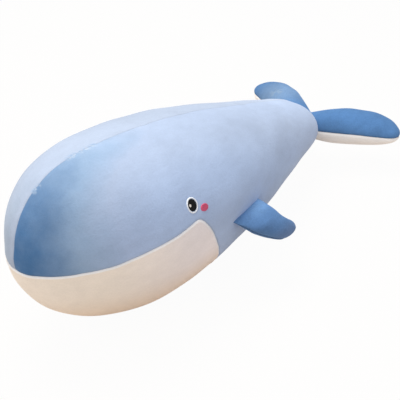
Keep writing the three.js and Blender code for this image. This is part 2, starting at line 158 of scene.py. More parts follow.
# Sewing
SEAM_DEPTH = 0.0014
SEAM_WIDTH = 0.0040
SEAM_SPACING = 0.0005  # between the points that mark a seam
BACK_SEAM_DEPTH = 0.0006
BACK_SEAM_WIDTH = 0.0032
LIP_HEIGHT = 0.0010  # the chin panel's edge stands up beside the mouth seam
LIP_PLACE = 0.0035
LIP_WIDTH = 0.0025
BACK_LIP_SHARE = 1 / 3  # how much of it the back panels' edges have
RIM_SEAM_DEPTH = 0.0014
RIM_SEAM_WIDTH = 0.0026
ALLOWANCE = 0.0045  # how far the cloth is turned in at a seam
FIN_ALLOWANCE = 0.0022
TURN_IN = 0.0003
LUMP_HEIGHT = 0.0005
LUMP_LENGTH = 0.085
FIN_LUMP_HEIGHT = 0.0003
PUCKER_HEIGHT = 0.0004
FIN_PUCKER_HEIGHT = 0.0002
PUCKER_LENGTH = 0.032
PUCKER_REACH = 0.020
TAIL_CALM_SHARES = (0.90, 0.96)  # of the body's length, where this relief fades out
STUFFING_INSET = 0.006
FIBRE_LUMP_HEIGHT = 0.0018
FIBRE_LUMP_LENGTH = 0.040
CONTACT_GAP = 0.0003  # between the tail's end and the fin that is sewn round it
FLOOR_CLEARANCE = 0.0002

# Stuffing, blown up as cloth from a slightly smaller form
CLOTH_FRAMES = 20
CLOTH_PRESSURE = 12
CLOTH_STIFFNESS = 4
BODY_SHRINK = 0.0015
BODY_SWELL_CAP = 0.005
FIN_SHRINK = 0.0008
FIN_SWELL_CAP = 0.0025
PIN_REACH = 0.005  # seams hold the cloth over this distance
RIM_PIN_REACH = 0.002
LEAST_PIN = 0.02
TAIL_PIN_SHARES = (0.84, 0.92)  # of the body's length, where the tail fin comes to hold the cloth
HELD_RINGS = 4

# Embroidered ovals: width and height, turn, cells, and the angle that the stitches lie across
PUPIL = {"size": (0.0168, 0.0208), "turn": math.radians(11.5), "cells": 60, "stitch_angle": 0.3}
GLINT = {"size": (0.0040, 0.0050), "turn": 0, "cells": 20, "stitch_angle": 1.2}
BLUSH = {"size": (0.0168, 0.0128), "turn": math.radians(-13), "cells": 44, "stitch_angle": 0.8}
EYE_RIM = 0.0028
RIM_FULLNESS = 3  # 2 is a half round rim
GLINT_SHIFT = 0.0010
BLUSH_RISE = 0.0010

# Embroidery thread
THREAD_HEIGHT = 0.0013
THREAD_ROOT = 0.0010  # the stitches start this far under the pile
THREAD_PITCH = 0.0009
THREAD_RIDGE = 0.00013
THREAD_EDGE_SHARE = 0.16  # of the oval's half width, where the stitches roll over
POINTS_PER_STITCH = 4

# Blue plush colours
SIDE_BLUE = (0.415, 0.525, 0.745)
# Greyer blue on the top: painted sheen where the pile is seen at a grazing angle
CREST_SHEEN_BLUE = (0.400, 0.480, 0.640)
# Painted shade where the nap lies down on the forehead: a middle step, then the darkest front
MID_NAP_SHADE_BLUE = (0.285, 0.400, 0.570)
BRUSHED_NAP_SHADE_BLUE = (0.062, 0.164, 0.345)
RIGHT_BLUE = (0.400, 0.465, 0.590)
# Whitish forehead of the right panel: painted sheen of nap seen at a grazing angle
PALE_SHEEN_BLUE = (0.365, 0.435, 0.550)
TUFT_WHITE = (0.500, 0.570, 0.670)
FLIPPER_BLUE = (0.105, 0.215, 0.430)
FLIPPER_TIP_BLUE = (0.150, 0.238, 0.430)
# Painted highlight on the flipper's upper side beside its root
FLIPPER_SHINE = (0.200, 0.375, 0.660)
FLUKE_BLUE = (0.088, 0.205, 0.425)
# Pale patch on the tail fin's right lobe: brushed nap and painted highlight
PALE_PATCH_BLUE = (0.340, 0.430, 0.520)
BLUE_SHEEN = (0.60, 0.66, 0.74)
DARK_SHEEN = (0.30, 0.50, 0.82)

# Cream plush colours
FRONT_CREAM = (0.940, 0.855, 0.755)
REAR_CREAM = (0.895, 0.840, 0.850)
# Painted warm light bounced from the floor, with shade, low on the chin
PAINTED_BOUNCE_PEACH = (0.900, 0.700, 0.515)
# Painted highlight along the chin panel's lip by the mouth seam
LIP_HIGHLIGHT_WHITE = (0.950, 0.945, 0.960)
FIN_CREAM = (0.960, 0.935, 0.920)
CREAM_SHEEN = (0.90, 0.86, 0.83)

# Thread and fibre colours. The shaded ones are painted shade between the strands.
THREAD_WHITE = (0.900, 0.930, 0.980)
SHADED_WHITE = (0.700, 0.740, 0.820)
THREAD_BLACK = (0.004, 0.004, 0.004)
SHADED_BLACK = (0.002, 0.002, 0.002)
THREAD_PINK = (0.700, 0.110, 0.210)
SHADED_PINK = (0.420, 0.050, 0.120)
HIGHLIGHT = (0.900, 0.860, 0.800)
SHADED_HIGHLIGHT = (0.700, 0.640, 0.580)
FIBRE_WHITE = (0.850, 0.850, 0.830)
FIBRE_GREY = (0.620, 0.620, 0.600)

# Plush finish
CLOTH_GLOSS = 0.15
PLUSH_ROUGHNESS = 0.95
PLUSH_SHEEN = 0.28
PLUSH_SHEEN_ROUGHNESS = 0.45
BRUSH_LENGTH = 0.075
BRUSH_STRETCH = (1, 1.5, 1)
BRUSH_DEPTH = 0.14
NAP_LENGTH = 0.012
NAP_STRETCH = (1, 2.2, 1)
NAP_DEPTH = 0.06
NAP_BUMP = 0.0006
PILE_LENGTH = 0.0022
PILE_STRETCH = (1, 1.8, 1)
PILE_DEPTH = 0.08
PILE_BUMP = 0.0004
NAP_DETAIL = 3
NOISE_SPAN = (0.25, 0.75)  # where most values of a noise lie
# Painted shade along the seams: how far it reaches and how dark it makes the cloth
SEAM_SHADE_WIDTH = 0.0030
SEAM_SHADE = 0.85
FIN_SEAM_SHADE = 0.55
BLUE_CRUSH = 0.4  # how uneven each plush looks, from 0 to 1
CREAM_CRUSH = 0.3
FLUKE_CRUSH = 0.8
FLIPPER_CRUSH = 1.0

# Nap of the back panels, and the shade and sheen painted with it
FOREHEAD_REACH = 0.118  # the forehead's nap is brushed down, with painted shade, this far back from the nose
FOREHEAD_MIDDLE = 0.058
FOREHEAD_UNEVEN = 0.010
RIDGE_SPAN = (0.020, 0.100)  # beside the back seam the brushed nap and its painted shade reach further back
RIDGE_SHARE = 0.42
CREST_SPAN = (0.060, 0.160)  # from the back seam, where the top's greyer blue, a painted sheen, turns
PALE_SPAN = (0.090, 0.010)  # back from the nose, where the right panel grows whitish with painted sheen
PALE_SEAM_SPAN = (0.004, 0.020)
TAIL_PALE_SPAN = (0.480, 0.740)
TAIL_PALENESS = 1.18
TUFT_LENGTH = 0.005
TUFT_STRETCH = (2, 1, 1)
TUFT_DETAIL = 2
TUFT_REACH = 0.009  # from the back seam
TUFT_BUNCHES = ((0.058, 0.009), (0.150, 0.040))  # how far back each bunch lies, and its reach
TUFT_SPAN = (0.40, 0.60)
TUFT_SHARE = 0.8
DASH_LENGTH = 0.007
DASH_SHARE = 0.5
RIGHT_DASH_SHARE = 0.9

# Tones of the chin, and the light painted on it
COOL_SPAN = (0.060, 0.260)  # back from the nose, where the cream turns cooler
PAINTED_BOUNCE_SPAN = (0.150, 0.040)  # over the floor, where painted warm light bounced from the floor, with shade, turns it peach
PAINTED_BOUNCE_SHARE = 0.9
LIP_HIGHLIGHT_SPAN = (0.0048, 0.0022)  # from the seam, where the painted highlight on the chin panel's lip lies
LIP_HIGHLIGHT_SHARE = 0.9

# Tones of the fins, and the highlights painted on them
TIP_SPAN = (0.045, 0.080)  # over the flipper's span
SHINE_SPAN = (-0.006, -0.002, 0.002, 0.022)  # over the flipper's span, where the painted highlight comes and goes
SHINE_FRONT = 0.2  # how much of the painted highlight the root's front end has
SHINE_REAR_SPAN = (-FLIPPER_CHORD / 3, FLIPPER_CHORD / 4)  # along the root, where it grows to the full
# Where the right lobe's pale patch lies: brushed nap and painted highlight
PALE_PATCH_PLACE = (-0.100, 0.385, 0.120)
PALE_PATCH_REACH = 0.045
PALE_PATCH_SPAN = (0.25, 0.65)
PALE_PATCH_SHARE = 0.8
PALER_LOBE_SPAN = (0.090, 0.025)  # from the patch's middle, where the lobe grows paler: brushed nap and painted highlight
PALER_LOBE_SHARE = 0.32

# Thread and fibre finish
THREAD_ROUGHNESS = 0.5
THREAD_SHEEN = 0.1
BLACK_ROUGHNESS = 0.6
# Where the painted shade between a thread's strands lies, and how much of it there is
STRAND_SPAN = (0.35, 0.75)
STRAND_SHARE = 0.6
STRAND_DETAIL = 2
THREAD_SHEEN_ROUGHNESS = 0.4
FIBRE_ROUGHNESS = 1.0
FIBRE_SHEEN = 0.2
FIBRE_LENGTH = 0.004
FIBRE_STRETCH = (1, 4, 1)
FIBRE_BUMP = 0.002
FIBRE_DETAIL = 5

# Where a node that mixes two colours takes them, and where it gives the mix
MIX_INPUTS = (6, 7)
MIX_OUTPUT = 2

# Camera, light and floor
CAMERA_PLACE = (0.6796, -0.8922, 0.8408)
CAMERA_AZIMUTH = math.radians(38.59)
CAMERA_ELEVATION = math.radians(34.61)
CAMERA_ROLL = math.radians(0.21)
CAMERA_LENS_MM = 61.2
SENSOR_MM = 36
FLOOR_SIZE = 8.0
FLOOR_COLOUR = (0.66, 0.57, 0.49)
FLOOR_WHITE = 0.96  # how much of the floor's white the camera sees without the shadow
WORLD_LIGHT = 0.62
WORLD_COLOUR = (0.97, 1.00, 1.06)
LAMP_COLOUR = (1.03, 1.00, 0.93)
TOP_LAMP = {"place": (-0.6, 0.0, 2.5), "size": 1.6, "energy": 46}
FRONT_LAMP = {"place": (0.0, -1.6, 2.2), "size": 1.6, "energy": 14}


@dataclass
class Form:
    """A closed surface: its points, its faces, and the panel that each face is cut from."""

    points: np.ndarray
    faces: list
    panels: np.ndarray

    def moved_to(self, points):
        return Form(points, self.faces, self.panels)

    def raised(self, height):
        """Moved outwards by the height at each point."""
        return self.moved_to(self.points + height[:, None] * normals_of(self))


# Curves

def smooth_line(places, values, end_slope=None):
    """A line through the stations: each value has the slope of its neighbours."""
    places, values = np.asarray(places, float), np.asarray(values, float)
    last = len(places) - 1
    before = np.maximum(np.arange(last + 1) - 1, 0)
    after = np.minimum(np.arange(last + 1) + 1, last)
    slopes = (values[after] - values[before]) / (places[after] - places[before])
    if end_slope is not None:
        slopes[last] = end_slope

    def line(at):
        i = np.clip(np.searchsorted(places, at) - 1, 0, last - 1)
        width = places[i + 1] - places[i]
        t = (at - places[i]) / width
        start = values[i] + t * slopes[i] * width
        end = values[i + 1] - (1 - t) * slopes[i + 1] * width
        return start + (end - start) * t * t * (3 - 2 * t)

    return line


def eased(value, low, high):
    """0 below low, 1 above high, and smooth between."""
    t = np.clip((value - low) / (high - low), 0, 1)
    return t * t * (3 - 2 * t)


def hump(distance, width):
    return np.exp(-((distance / width) ** 2))


def quarter_oval(share, fullness=2):
    """1 at share 0 and round down to 0 at share 1. 2 is an ellipse, and more is fuller."""
    return np.sqrt(np.clip(1 - share**fullness, 0, 1))


def ripples(points, length, seed, waves=9):
    """A smooth uneven field over the points, about -1 to 1, with waves of that length."""
    random = np.random.default_rng(seed)
    directions = random.normal(size=(3, waves))
    directions *= 2 * math.pi / length / np.linalg.norm(directions, axis=0)
    phases = random.uniform(0, 2 * math.pi, waves)
    return np.sin(points @ directions + phases).sum(axis=1) / math.sqrt(waves)


# The body's form

def body_line(shares, size, ball_height, ball_size, taper):
    """One outline of the body, with a tangent run into the ball at the tail."""
    touch = TAIL_END_CENTRE + TAIL_END_RADIUS * math.sin(taper)
    places = np.append(STATION_SHARES * BODY_LENGTH, touch)
    values = np.append(np.multiply(shares, size), ball_height + ball_size * math.cos(taper))
    line = smooth_line(places, values, -(ball_size / TAIL_END_RADIUS) * math.tan(taper))

    def outline(y):
        ball = ball_height + ball_size * quarter_oval((y - TAIL_END_CENTRE) / TAIL_END_RADIUS)
        return np.where(y < touch, line(np.minimum(y, touch)), ball)

    return outline


side_line = body_line(SIDE_SHARES, BODY_WIDTH / 2, 0, TAIL_END_HALF_WIDTH, TAIL_SIDE_TAPER)
top_line = body_line(TOP_SHARES, BODY_HEIGHT, TAIL_END_HEIGHT, TAIL_END_RADIUS, TAIL_TOP_TAPER)
keel_line = body_line(KEEL_SHARES, BODY_HEIGHT, TAIL_END_HEIGHT, -TAIL_END_RADIUS, TAIL_KEEL_TAPER)
middle_curve = smooth_line(
    np.append(STATION_SHARES * BODY_LENGTH, TAIL_END_CENTRE),
    np.append(np.multiply(MIDDLE_SHARES, BODY_HEIGHT), TAIL_END_HEIGHT),
    0,
)


def middle_line(y):
    return middle_curve(np.minimum(y, TAIL_END_CENTRE))


def nose_rounding(y):
    return quarter_oval(np.clip(1 - y / NOSE_LENGTH, 0, 1), NOSE_FULLNESS)


def settled(z):
    """The lowest stretch of the belly spreads on the floor."""
    above = np.maximum(0, z + SETTLE_HEIGHT)
    return np.where(z > SETTLE_HEIGHT, z, above * above / (4 * SETTLE_HEIGHT))


def body_points(y, rise_angle, side, inset=0.0):
    """Points of the skin at a distance back from the nose and an angle above the side of the section."""
    rounding = nose_rounding(y)
    middle = middle_line(y)
    edge = np.where(rise_angle >= 0, top_line(y), keel_line(y))
    half_width = side_line(y) * rounding
    x = side * np.maximum(half_width * np.cos(rise_angle) - inset, 0)
    rise = (edge - middle) * rounding * np.abs(np.sin(rise_angle))
    z = settled(middle + rise) - BELLY_CUT
    radius = np.maximum(np.abs(edge - middle) * rounding, inset + TINY)
    z = middle + (z - middle) * (radius - inset) / radius
    along = inset + y * (BODY_LENGTH - 2 * inset) / BODY_LENGTH
    return np.stack([x, along + nose_y, z], axis=-1)


def spline(points, steps):
    """A smooth curve through the points, in that many steps from each to the next."""
    points = np.asarray(points, float)
    padded_points = np.vstack([points[0], points, points[-1]])
    t = np.linspace(0, 1, steps, endpoint=False)[:, None]
    pieces = []
    for p0, p1, p2, p3 in zip(padded_points, padded_points[1:], padded_points[2:], padded_points[3:]):
        v0, v1 = (p2 - p0) / 2, (p3 - p1) / 2
        cubic = (2 * p1 - 2 * p2 + v0 + v1) * t**3
        square = (3 * p2 - 3 * p1 - 2 * v0 - v1) * t**2
        pieces.append(cubic + square + v0 * t + p1)
    return np.vstack([*pieces, points[-1]])


chin_edge = spline(CHIN_EDGE_SHARES, CHIN_EDGE_STEPS) * (CHIN_LENGTH, MOUTH_CORNER_HEIGHT)


def chin_height(y):
    """How high the chin panel's edge runs on the side of the body."""
    return np.interp(y, chin_edge[:, 0], chin_edge[:, 1])


def angle_at_height(y, height):
    middle = middle_line(y)
    edge = np.where(height > middle, top_line(y), keel_line(y))
    lift = (height + BELLY_CUT - middle) / (np.abs(edge - middle) * nose_rounding(y) + TINY)
    return np.arcsin(np.clip(lift, -1, 1))


def mouth_angle(y):
    """The angle of the mouth line on the section, held level behind the corner of the mouth."""
    y = np.minimum(y, MOUTH_CORNER_SHARE * CHIN_LENGTH)
    return np.clip(angle_at_height(y, chin_height(y)), -MOUTH_TILT_LIMIT, MOUTH_TILT_LIMIT)


def outline_places(samples=2000):
    """The body's length against the share of its outline, from nose to tail."""
    y = BODY_LENGTH * (1 - np.cos(np.linspace(0, math.pi, samples))) / 2
    radius = side_line(y) * nose_rounding(y)
    steps = np.hypot(np.diff(y), np.diff(radius))
    shares = np.append(0, np.cumsum(steps))
    return shares / shares[-1], y


def sheet_faces(sheet):
    """The quads of a grid of point numbers."""
    corners = [sheet[:-1, :-1], sheet[1:, :-1], sheet[1:, 1:], sheet[:-1, 1:]]
    return np.stack([c.ravel() for c in corners], axis=-1)


def box_grid(cells):
    """The surface of a box cut into that many cells, as points from -1 to 1 and outward faces."""
    nx, ny, nz = cells
    index = -np.ones((nx + 1, ny + 1, nz + 1), int)
    i, j, k = np.indices(index.shape)
    shell = (i % nx == 0) | (j % ny == 0) | (k % nz == 0)
    index[shell] = np.arange(shell.sum())
    points = 2 * np.stack([i[shell] / nx, j[shell] / ny, k[shell] / nz], axis=-1) - 1
    faces = []
    for sheet, flip in (
        (index[-1], False), (index[0], True), (index[:, -1], True),
        (index[:, 0], False), (index[:, :, -1], False), (index[:, :, 0], True),
    ):
        quads = sheet_faces(sheet)
        faces.append(quads[:, ::-1] if flip else quads)
    return points, np.vstack(faces).tolist()


def body_form(cells, inset=0.0):
    """The whole body as one closed surface whose cells follow the back seam and the mouth line."""
    unit, faces = box_grid(cells)
    crowded = unit.copy()
    for axis in (0, 2):
        crowded[:, axis] = np.sign(unit[:, axis]) * np.abs(unit[:, axis]) ** SEAM_CROWDING
    bent = np.tan(crowded * math.pi / 4)
    turn = np.arctan2(np.hypot(bent[:, 0], bent[:, 2]), -bent[:, 1])
    shares, places = outline_places()
    y = np.interp(turn / math.pi - CAP_SHARE * np.sin(2 * turn), shares, places)
    angle = np.arctan2(bent[:, 2], np.abs(bent[:, 0]))
    window = (1 - (2 * angle / math.pi) ** 2) ** 2
    angle = angle + mouth_angle(y) * window
    points = body_points(y, angle, np.sign(unit[:, 0]), inset)
    return Form(points, faces, panels_of(points, faces))


BACK_LEFT, BACK_RIGHT, CHIN = range(3)


def chin_side(points):
    """Above 0 outside the chin panel and below 0 inside it, as a distance in the side view."""
    y, z = points[:, 1] - nose_y, points[:, 2]
    above = z - chin_height(y)
    behind = y - CHIN_LENGTH
    slope = np.gradient(chin_edge[:, 1], chin_edge[:, 0] + np.arange(len(chin_edge)) * TINY)
    steepness = np.interp(y, chin_edge[:, 0], np.abs(slope))
    return np.where(behind > 0, np.maximum(behind, 0), above / np.hypot(1, steepness))


def panels_of(points, faces):
    middles = np.array([points[face].mean(axis=0) for face in faces])
    panels = np.where(middles[:, 0] > 0, BACK_LEFT, BACK_RIGHT)
    panels[chin_side(middles) < 0] = CHIN
    return panels


def round_of(points):
    """Each point with the next one, and the last with the first."""
    return zip(points, points[1:] + points[:1])


def edges_of(faces):
    """Each edge once, with the faces beside it."""
    sides = {}
    for number, face in enumerate(faces):
        for a, b in round_of(face):
            sides.setdefault((min(a, b), max(a, b)), []).append(number)
    return sides


def seam_edges(form):
    """The edges where two panels meet, each with that pair of panels."""
    seams = {}
    for edge, sides in edges_of(form.faces).items():
        pair = frozenset(form.panels[n] for n in sides)
        if len(pair) > 1:
            seams[edge] = pair
    return seams


def cut_at_chin(form):
    """Slides points along their edges onto the chin panel's edge, so that it follows the faces."""
    points = form.points.copy()
    side = chin_side(points)
    pairs = np.array(list(edges_of(form.faces)))
    a, b = pairs[side[pairs[:, 0]] * side[pairs[:, 1]] < 0].T
    share = side[a] / (side[a] - side[b])
    near_b = share > 0.5
    moved = np.where(near_b, b, a)
    others = np.where(near_b, a, b)
    reach = np.where(near_b, 1 - share, share)
    for n in np.argsort(-reach):
        target = form.points[moved[n]] + reach[n] * (form.points[others[n]] - form.points[moved[n]])
        points[moved[n]] = target
        side[moved[n]] = 0
    faces = []
    for face in form.faces:
        signs = np.sign(side[face])
        if len(face) == 4 and signs.min() < 0 < signs.max():
            turn = 0 if signs[0] == 0 else 1
            a, b, c, d = face[turn:] + face[:turn]
            faces += [[a, b, c], [a, c, d]]
        else:
            faces.append(face)
    return Form(points, faces, panels_of(points, faces))


# Meshes

def to_mesh(name, form):
    mesh = bpy.data.meshes.new(name)
    mesh.from_pydata(form.points.tolist(), [], form.faces)
    mesh.polygons.foreach_set("material_index", np.asarray(form.panels, np.int32))
    mesh.update()
    return mesh


def from_mesh(mesh):
    points = np.zeros(len(mesh.vertices) * 3)
    mesh.vertices.foreach_get("co", points)
    panels = np.zeros(len(mesh.polygons), np.int32)
    mesh.polygons.foreach_get("material_index", panels)
    return Form(points.reshape(-1, 3), [list(p.vertices) for p in mesh.polygons], panels)


def normals_of(form):
    mesh = to_mesh("normals", form)
    normals = np.zeros(len(mesh.vertices) * 3)
    mesh.vertices.foreach_get("normal", normals)
    bpy.data.meshes.remove(mesh)
    return normals.reshape(-1, 3)


def add_object(name, data):
    obj = bpy.data.objects.new(name, data)
    bpy.context.scene.collection.objects.link(obj)
    return obj


def store(mesh, key, values):
    """Keeps a value for each point, which the materials read."""
    values = np.asarray(values, np.float32)
    kind = "FLOAT_VECTOR" if values.ndim == 2 else "FLOAT"
    attribute = mesh.attributes.new(key, kind, "POINT")
    attribute.data.foreach_set("vector" if values.ndim == 2 else "value", values.ravel())


def smooth_object(name, points, faces, values=()):
    """A smooth object of one material, which keeps its rest shape and those values."""
    mesh = to_mesh(name, Form(points, faces, np.zeros(len(faces), int)))
    mesh.polygons.foreach_set("use_smooth", np.ones(len(faces), bool))
    for key, kept in {"rest": points, **dict(values)}.items():
        store(mesh, key, kept)
    return add_object(name, mesh)


def evaluated_form(obj):
    """The form with the object's modifiers applied. The object itself is removed."""
    depsgraph = bpy.context.evaluated_depsgraph_get()
    mesh = bpy.data.meshes.new_from_object(obj.evaluated_get(depsgraph))
    form = from_mesh(mesh)
    bpy.data.meshes.remove(mesh)
    source = obj.data
    bpy.data.objects.remove(obj)
    bpy.data.meshes.remove(source)
    return form


def subdivided(form):
    obj = add_object("finer", to_mesh("finer", form))
    subdivision = obj.modifiers.new("subdivision", "SUBSURF")
    subdivision.levels = 1
    return evaluated_form(obj)


def blown_up(form, shrink, cap, pins):
    """The form filled as cloth under pressure, held at its seams. No point moves further than cap."""
    obj = add_object("cloth", to_mesh("cloth", form.raised(-shrink * (1 - pins))))
    group = obj.vertex_groups.new(name="seams")
    for number, weight in enumerate(pins):
        if weight > 0:
            group.add([number], float(weight), "REPLACE")
    cloth = obj.modifiers.new("pressure", "CLOTH")
    cloth.settings.use_pressure = True
    cloth.settings.uniform_pressure_force = CLOTH_PRESSURE
    cloth.settings.effector_weights.gravity = 0
    cloth.settings.tension_stiffness = CLOTH_STIFFNESS
    cloth.settings.vertex_group_mass = group.name
    cloth.collision_settings.use_collision = False
    cloth.point_cache.frame_start = 1
    cloth.point_cache.frame_end = CLOTH_FRAMES
    for number in range(1, CLOTH_FRAMES + 1):
        bpy.context.scene.frame_set(number)
    moved = evaluated_form(obj).points - form.points
    bpy.context.scene.frame_set(1)
    reach = np.linalg.norm(moved, axis=1)[:, None]
    moved *= np.minimum(1, cap / np.maximum(reach, TINY))
    return form.moved_to(form.points + moved)


def seam_points(form):
    """Close points along the edges where two panels meet, each with that pair of panels."""
    found = {}
    for (a, b), pair in seam_edges(form).items():
        steps = max(2, int(np.linalg.norm(form.points[a] - form.points[b]) / SEAM_SPACING))
        share = np.linspace(0, 1, steps)[:, None]
        found.setdefault(pair, []).append(form.points[a] * (1 - share) + form.points[b] * share)
    return {pair: np.vstack(runs) for pair, runs in found.items()}


def nearest(points, targets):
    """The distance from each point to the targets, and the target that is nearest."""
    tree = KDTree(len(targets))
    for number, target in enumerate(targets):
        tree.insert(target, number)
    tree.balance()
    found = [tree.find(point) for point in points]
    return np.array([f[2] for f in found]), targets[[f[1] for f in found]]


def nearest_seam(form):
    return nearest(form.points, np.vstack(list(seam_points(form).values())))


def split_panels(form, names, attributes, allowance):
    """One object for each panel, its cloth turned in at the seams."""
    normals = normals_of(form)
    seams = seam_edges(form)
    objects = []
    for panel, name in enumerate(names):
        own = [face for face, p in zip(form.faces, form.panels) if p == panel]
        middle = form.points[np.unique(np.concatenate(own))].mean(axis=0)
        rims = [(a, b) for face in own for a, b in round_of(face) if (min(a, b), max(a, b)) in seams]
        used = sorted({v for face in own for v in face})
        number = {v: n for n, v in enumerate(used)}
        rim_points = sorted({v for edge in rims for v in edge})
        turned = {v: len(used) + n for n, v in enumerate(rim_points)}
        to_middle = middle - form.points[rim_points]
        to_middle /= np.linalg.norm(to_middle, axis=1)[:, None]
        inward = -normals[rim_points]
        lost = (inward * to_middle).sum(axis=1) < 0  # at sharp corners the normals say little
        inward[lost] = to_middle[lost]
        inner = form.points[rim_points] + allowance * inward + TURN_IN * to_middle
        faces = [[number[v] for v in face] for face in own]
        faces += [[number[b], number[a], turned[a], turned[b]] for a, b in rims]
        points = np.vstack([form.points[used], inner])
        values = {key: kept[used + rim_points] for key, kept in attributes.items()}
        objects.append(smooth_object(name, points, faces, values))
    return objects


# Fins

def rounded(value):
    return np.sign(value) * np.abs(value) ** (2 / FIN_SECTION_POWER)


def drawn_in(size, inset):
    """A fin's half size less the inset, but never nothing."""
    return max(size - inset, inset / 2)


def ring_places(count):
    """Shares of a span, closer together at its two ends."""
    even = np.arange(1, count) / count
    return even * (1 - RING_BUNCHING) + (1 - np.cos(math.pi * even)) / 2 * RING_BUNCHING


def ring_faces(count, sides, closed=False):
    """The quads between rings of points, and where closed from the last ring back to the first."""
    faces = []
    for r in range(count if closed else count - 1):
        here, after = r * sides, (r + 1) % count * sides
        for s in range(sides):
            n = (s + 1) % sides
            faces.append([here + s, here + n, after + n, after + s])
    return faces


def rings_form(rings):
    """Rings of points as one closed form. The points over the seam plane are the upper panel."""
    count, sides = len(rings), len(rings[0])
    last = (count - 1) * sides
    points = np.vstack([*rings, rings[0].mean(axis=0), rings[-1].mean(axis=0)])
    faces = ring_faces(count, sides)
    halves = [int(s >= sides // 2) for s in range(sides)]
    panels = halves * (count - 1)
    for s in range(sides):
        n = (s + 1) % sides
        faces += [[s, count * sides, n], [last + s, last + n, count * sides + 1]]
        panels += [halves[s]] * 2
    return Form(points, faces, np.array(panels))


def flipper_form(inset=0.0):
    """A flipper in its own frame: the root seam along X, the span along -Y, the upper panel +Z."""
    ring_count, sides = FLIPPER_CELLS
    rows = FLIPPER_SWEEP_SHARES, FLIPPER_CHORD_SHARES, FLIPPER_PLUMP_SHARES
    sweep_line, chord_line, plump_line = (smooth_line(QUARTER_SHARES, row) for row in rows)
    bead = FLIPPER_ROOT_THICKNESS / 2
    turn = 2 * math.pi * np.arange(sides) / sides
    rings = []

    def add_ring(share, across, thin):
        cap = quarter_oval(share, FLIPPER_TIP_FULLNESS)
        gained = (FLIPPER_THICKNESS - FLIPPER_ROOT_THICKNESS) / 2
        half_chord = drawn_in(FLIPPER_CHORD / 2 * chord_line(share) * cap, inset)
        half = drawn_in((bead + gained * plump_line(share)) * cap, inset) * thin
        x = FLIPPER_SWEEP * sweep_line(share) + half_chord * rounded(np.cos(turn))
        z = half * rounded(np.sin(turn)) + FLIPPER_ARCH * math.sin(math.pi * share**FLIPPER_ARCH_POWER)
        rings.append(np.stack([x, np.full(sides, -across), z], axis=-1))

    for edge in BEAD_TURNS * math.pi / 2:
        add_ring(0, -bead * math.cos(edge), math.sin(edge))
    for share in ring_places(ring_count):
        add_ring(share, share * (FLIPPER_SPAN - inset), 1)
    add_ring(FIN_TIP_SHARE, FLIPPER_SPAN - inset, 1)
    return rings_form(rings)


def fluke_form(inset=0.0):
    """The tail fin in its own frame: tip to tip along X, rear edge towards +Y."""
    ring_count, sides = FLUKE_CELLS
    rows = FLUKE_SWEEP_SHARES, FLUKE_CHORD_SHARES, FLUKE_PLUMP_SHARES
    sweep_line, chord_line, plump_line = (smooth_line(QUARTER_SHARES, row) for row in rows)
    turn = 2 * math.pi * np.arange(sides) / sides
    rings = []
    for place in (0, *ring_places(ring_count), 1):
        across = 2 * place - 1
        share = min(abs(across), FIN_TIP_SHARE)
        cap = quarter_oval(share, FLUKE_TIP_FULLNESS)
        half_chord = drawn_in(FLUKE_CHORD / 2 * chord_line(share) * cap, inset)
        top = drawn_in(FLUKE_TOP_THICKNESS * plump_line(share) * cap, inset)
        under = drawn_in(FLUKE_UNDER_THICKNESS * plump_line(share) * cap, inset)
        lift = rounded(np.sin(turn))
        y = FLUKE_SWEEP * sweep_line(share) + half_chord * rounded(np.cos(turn))
        x = np.full(sides, across * (FLUKE_SPAN / 2 - inset))
        rings.append(np.stack([x, y, lift * np.where(lift > 0, top, under)], axis=-1))
    return rings_form(rings)


def placed(form, matrix):
    turned = form.points @ np.array(matrix.to_3x3()).T + np.array(matrix.translation)
    return form.moved_to(turned)


def mirrored(form):
    return Form(form.points * (-1, 1, 1), [face[::-1] for face in form.faces], form.panels)


# The stuffed pieces

joints = {joint["name"]: joint for joint in frame["joints"]}
flap = joints["flipper_left_flap"]
swing = joints["fluke_swing"]
root_middle = np.array(flap["pos_m"])
root_along = -np.array(flap["axis"])
tail_centre = np.array(swing["pos_m"])


def mouth_seam_line(samples=1200):
    y = np.linspace(0, CHIN_LENGTH, samples)
    angle = angle_at_height(y, chin_height(y))
    return np.vstack([body_points(y, angle, side) for side in (1, -1)])


def root_line(side, samples=60):
    """Points along a flipper's root seam, from front to back."""
    reach = np.linspace(-FLIPPER_CHORD / 2, FLIPPER_CHORD / 2, samples)[:, None]
    return (root_middle + reach * root_along) * (side, 1, 1)


def body_pins(form):
    """How firmly each point is held: by the seams, the flippers' roots and the tail fin."""
    back = form.points[:, 1] - nose_y
    mouth, _ = nearest(form.points, mouth_seam_line())
    roots, _ = nearest(form.points, np.vstack([root_line(1), root_line(-1)]))
    middle = np.where(chin_side(form.points) > 0, np.abs(form.points[:, 0]), np.inf)
    pins = hump(np.minimum(mouth, middle), PIN_REACH)
    pins = np.maximum(pins, hump(roots, ROOT_DENT_WIDTH))
    pins = np.maximum(pins, eased(back / BODY_LENGTH, *TAIL_PIN_SHARES))
    return np.where(pins < LEAST_PIN, 0, pins)


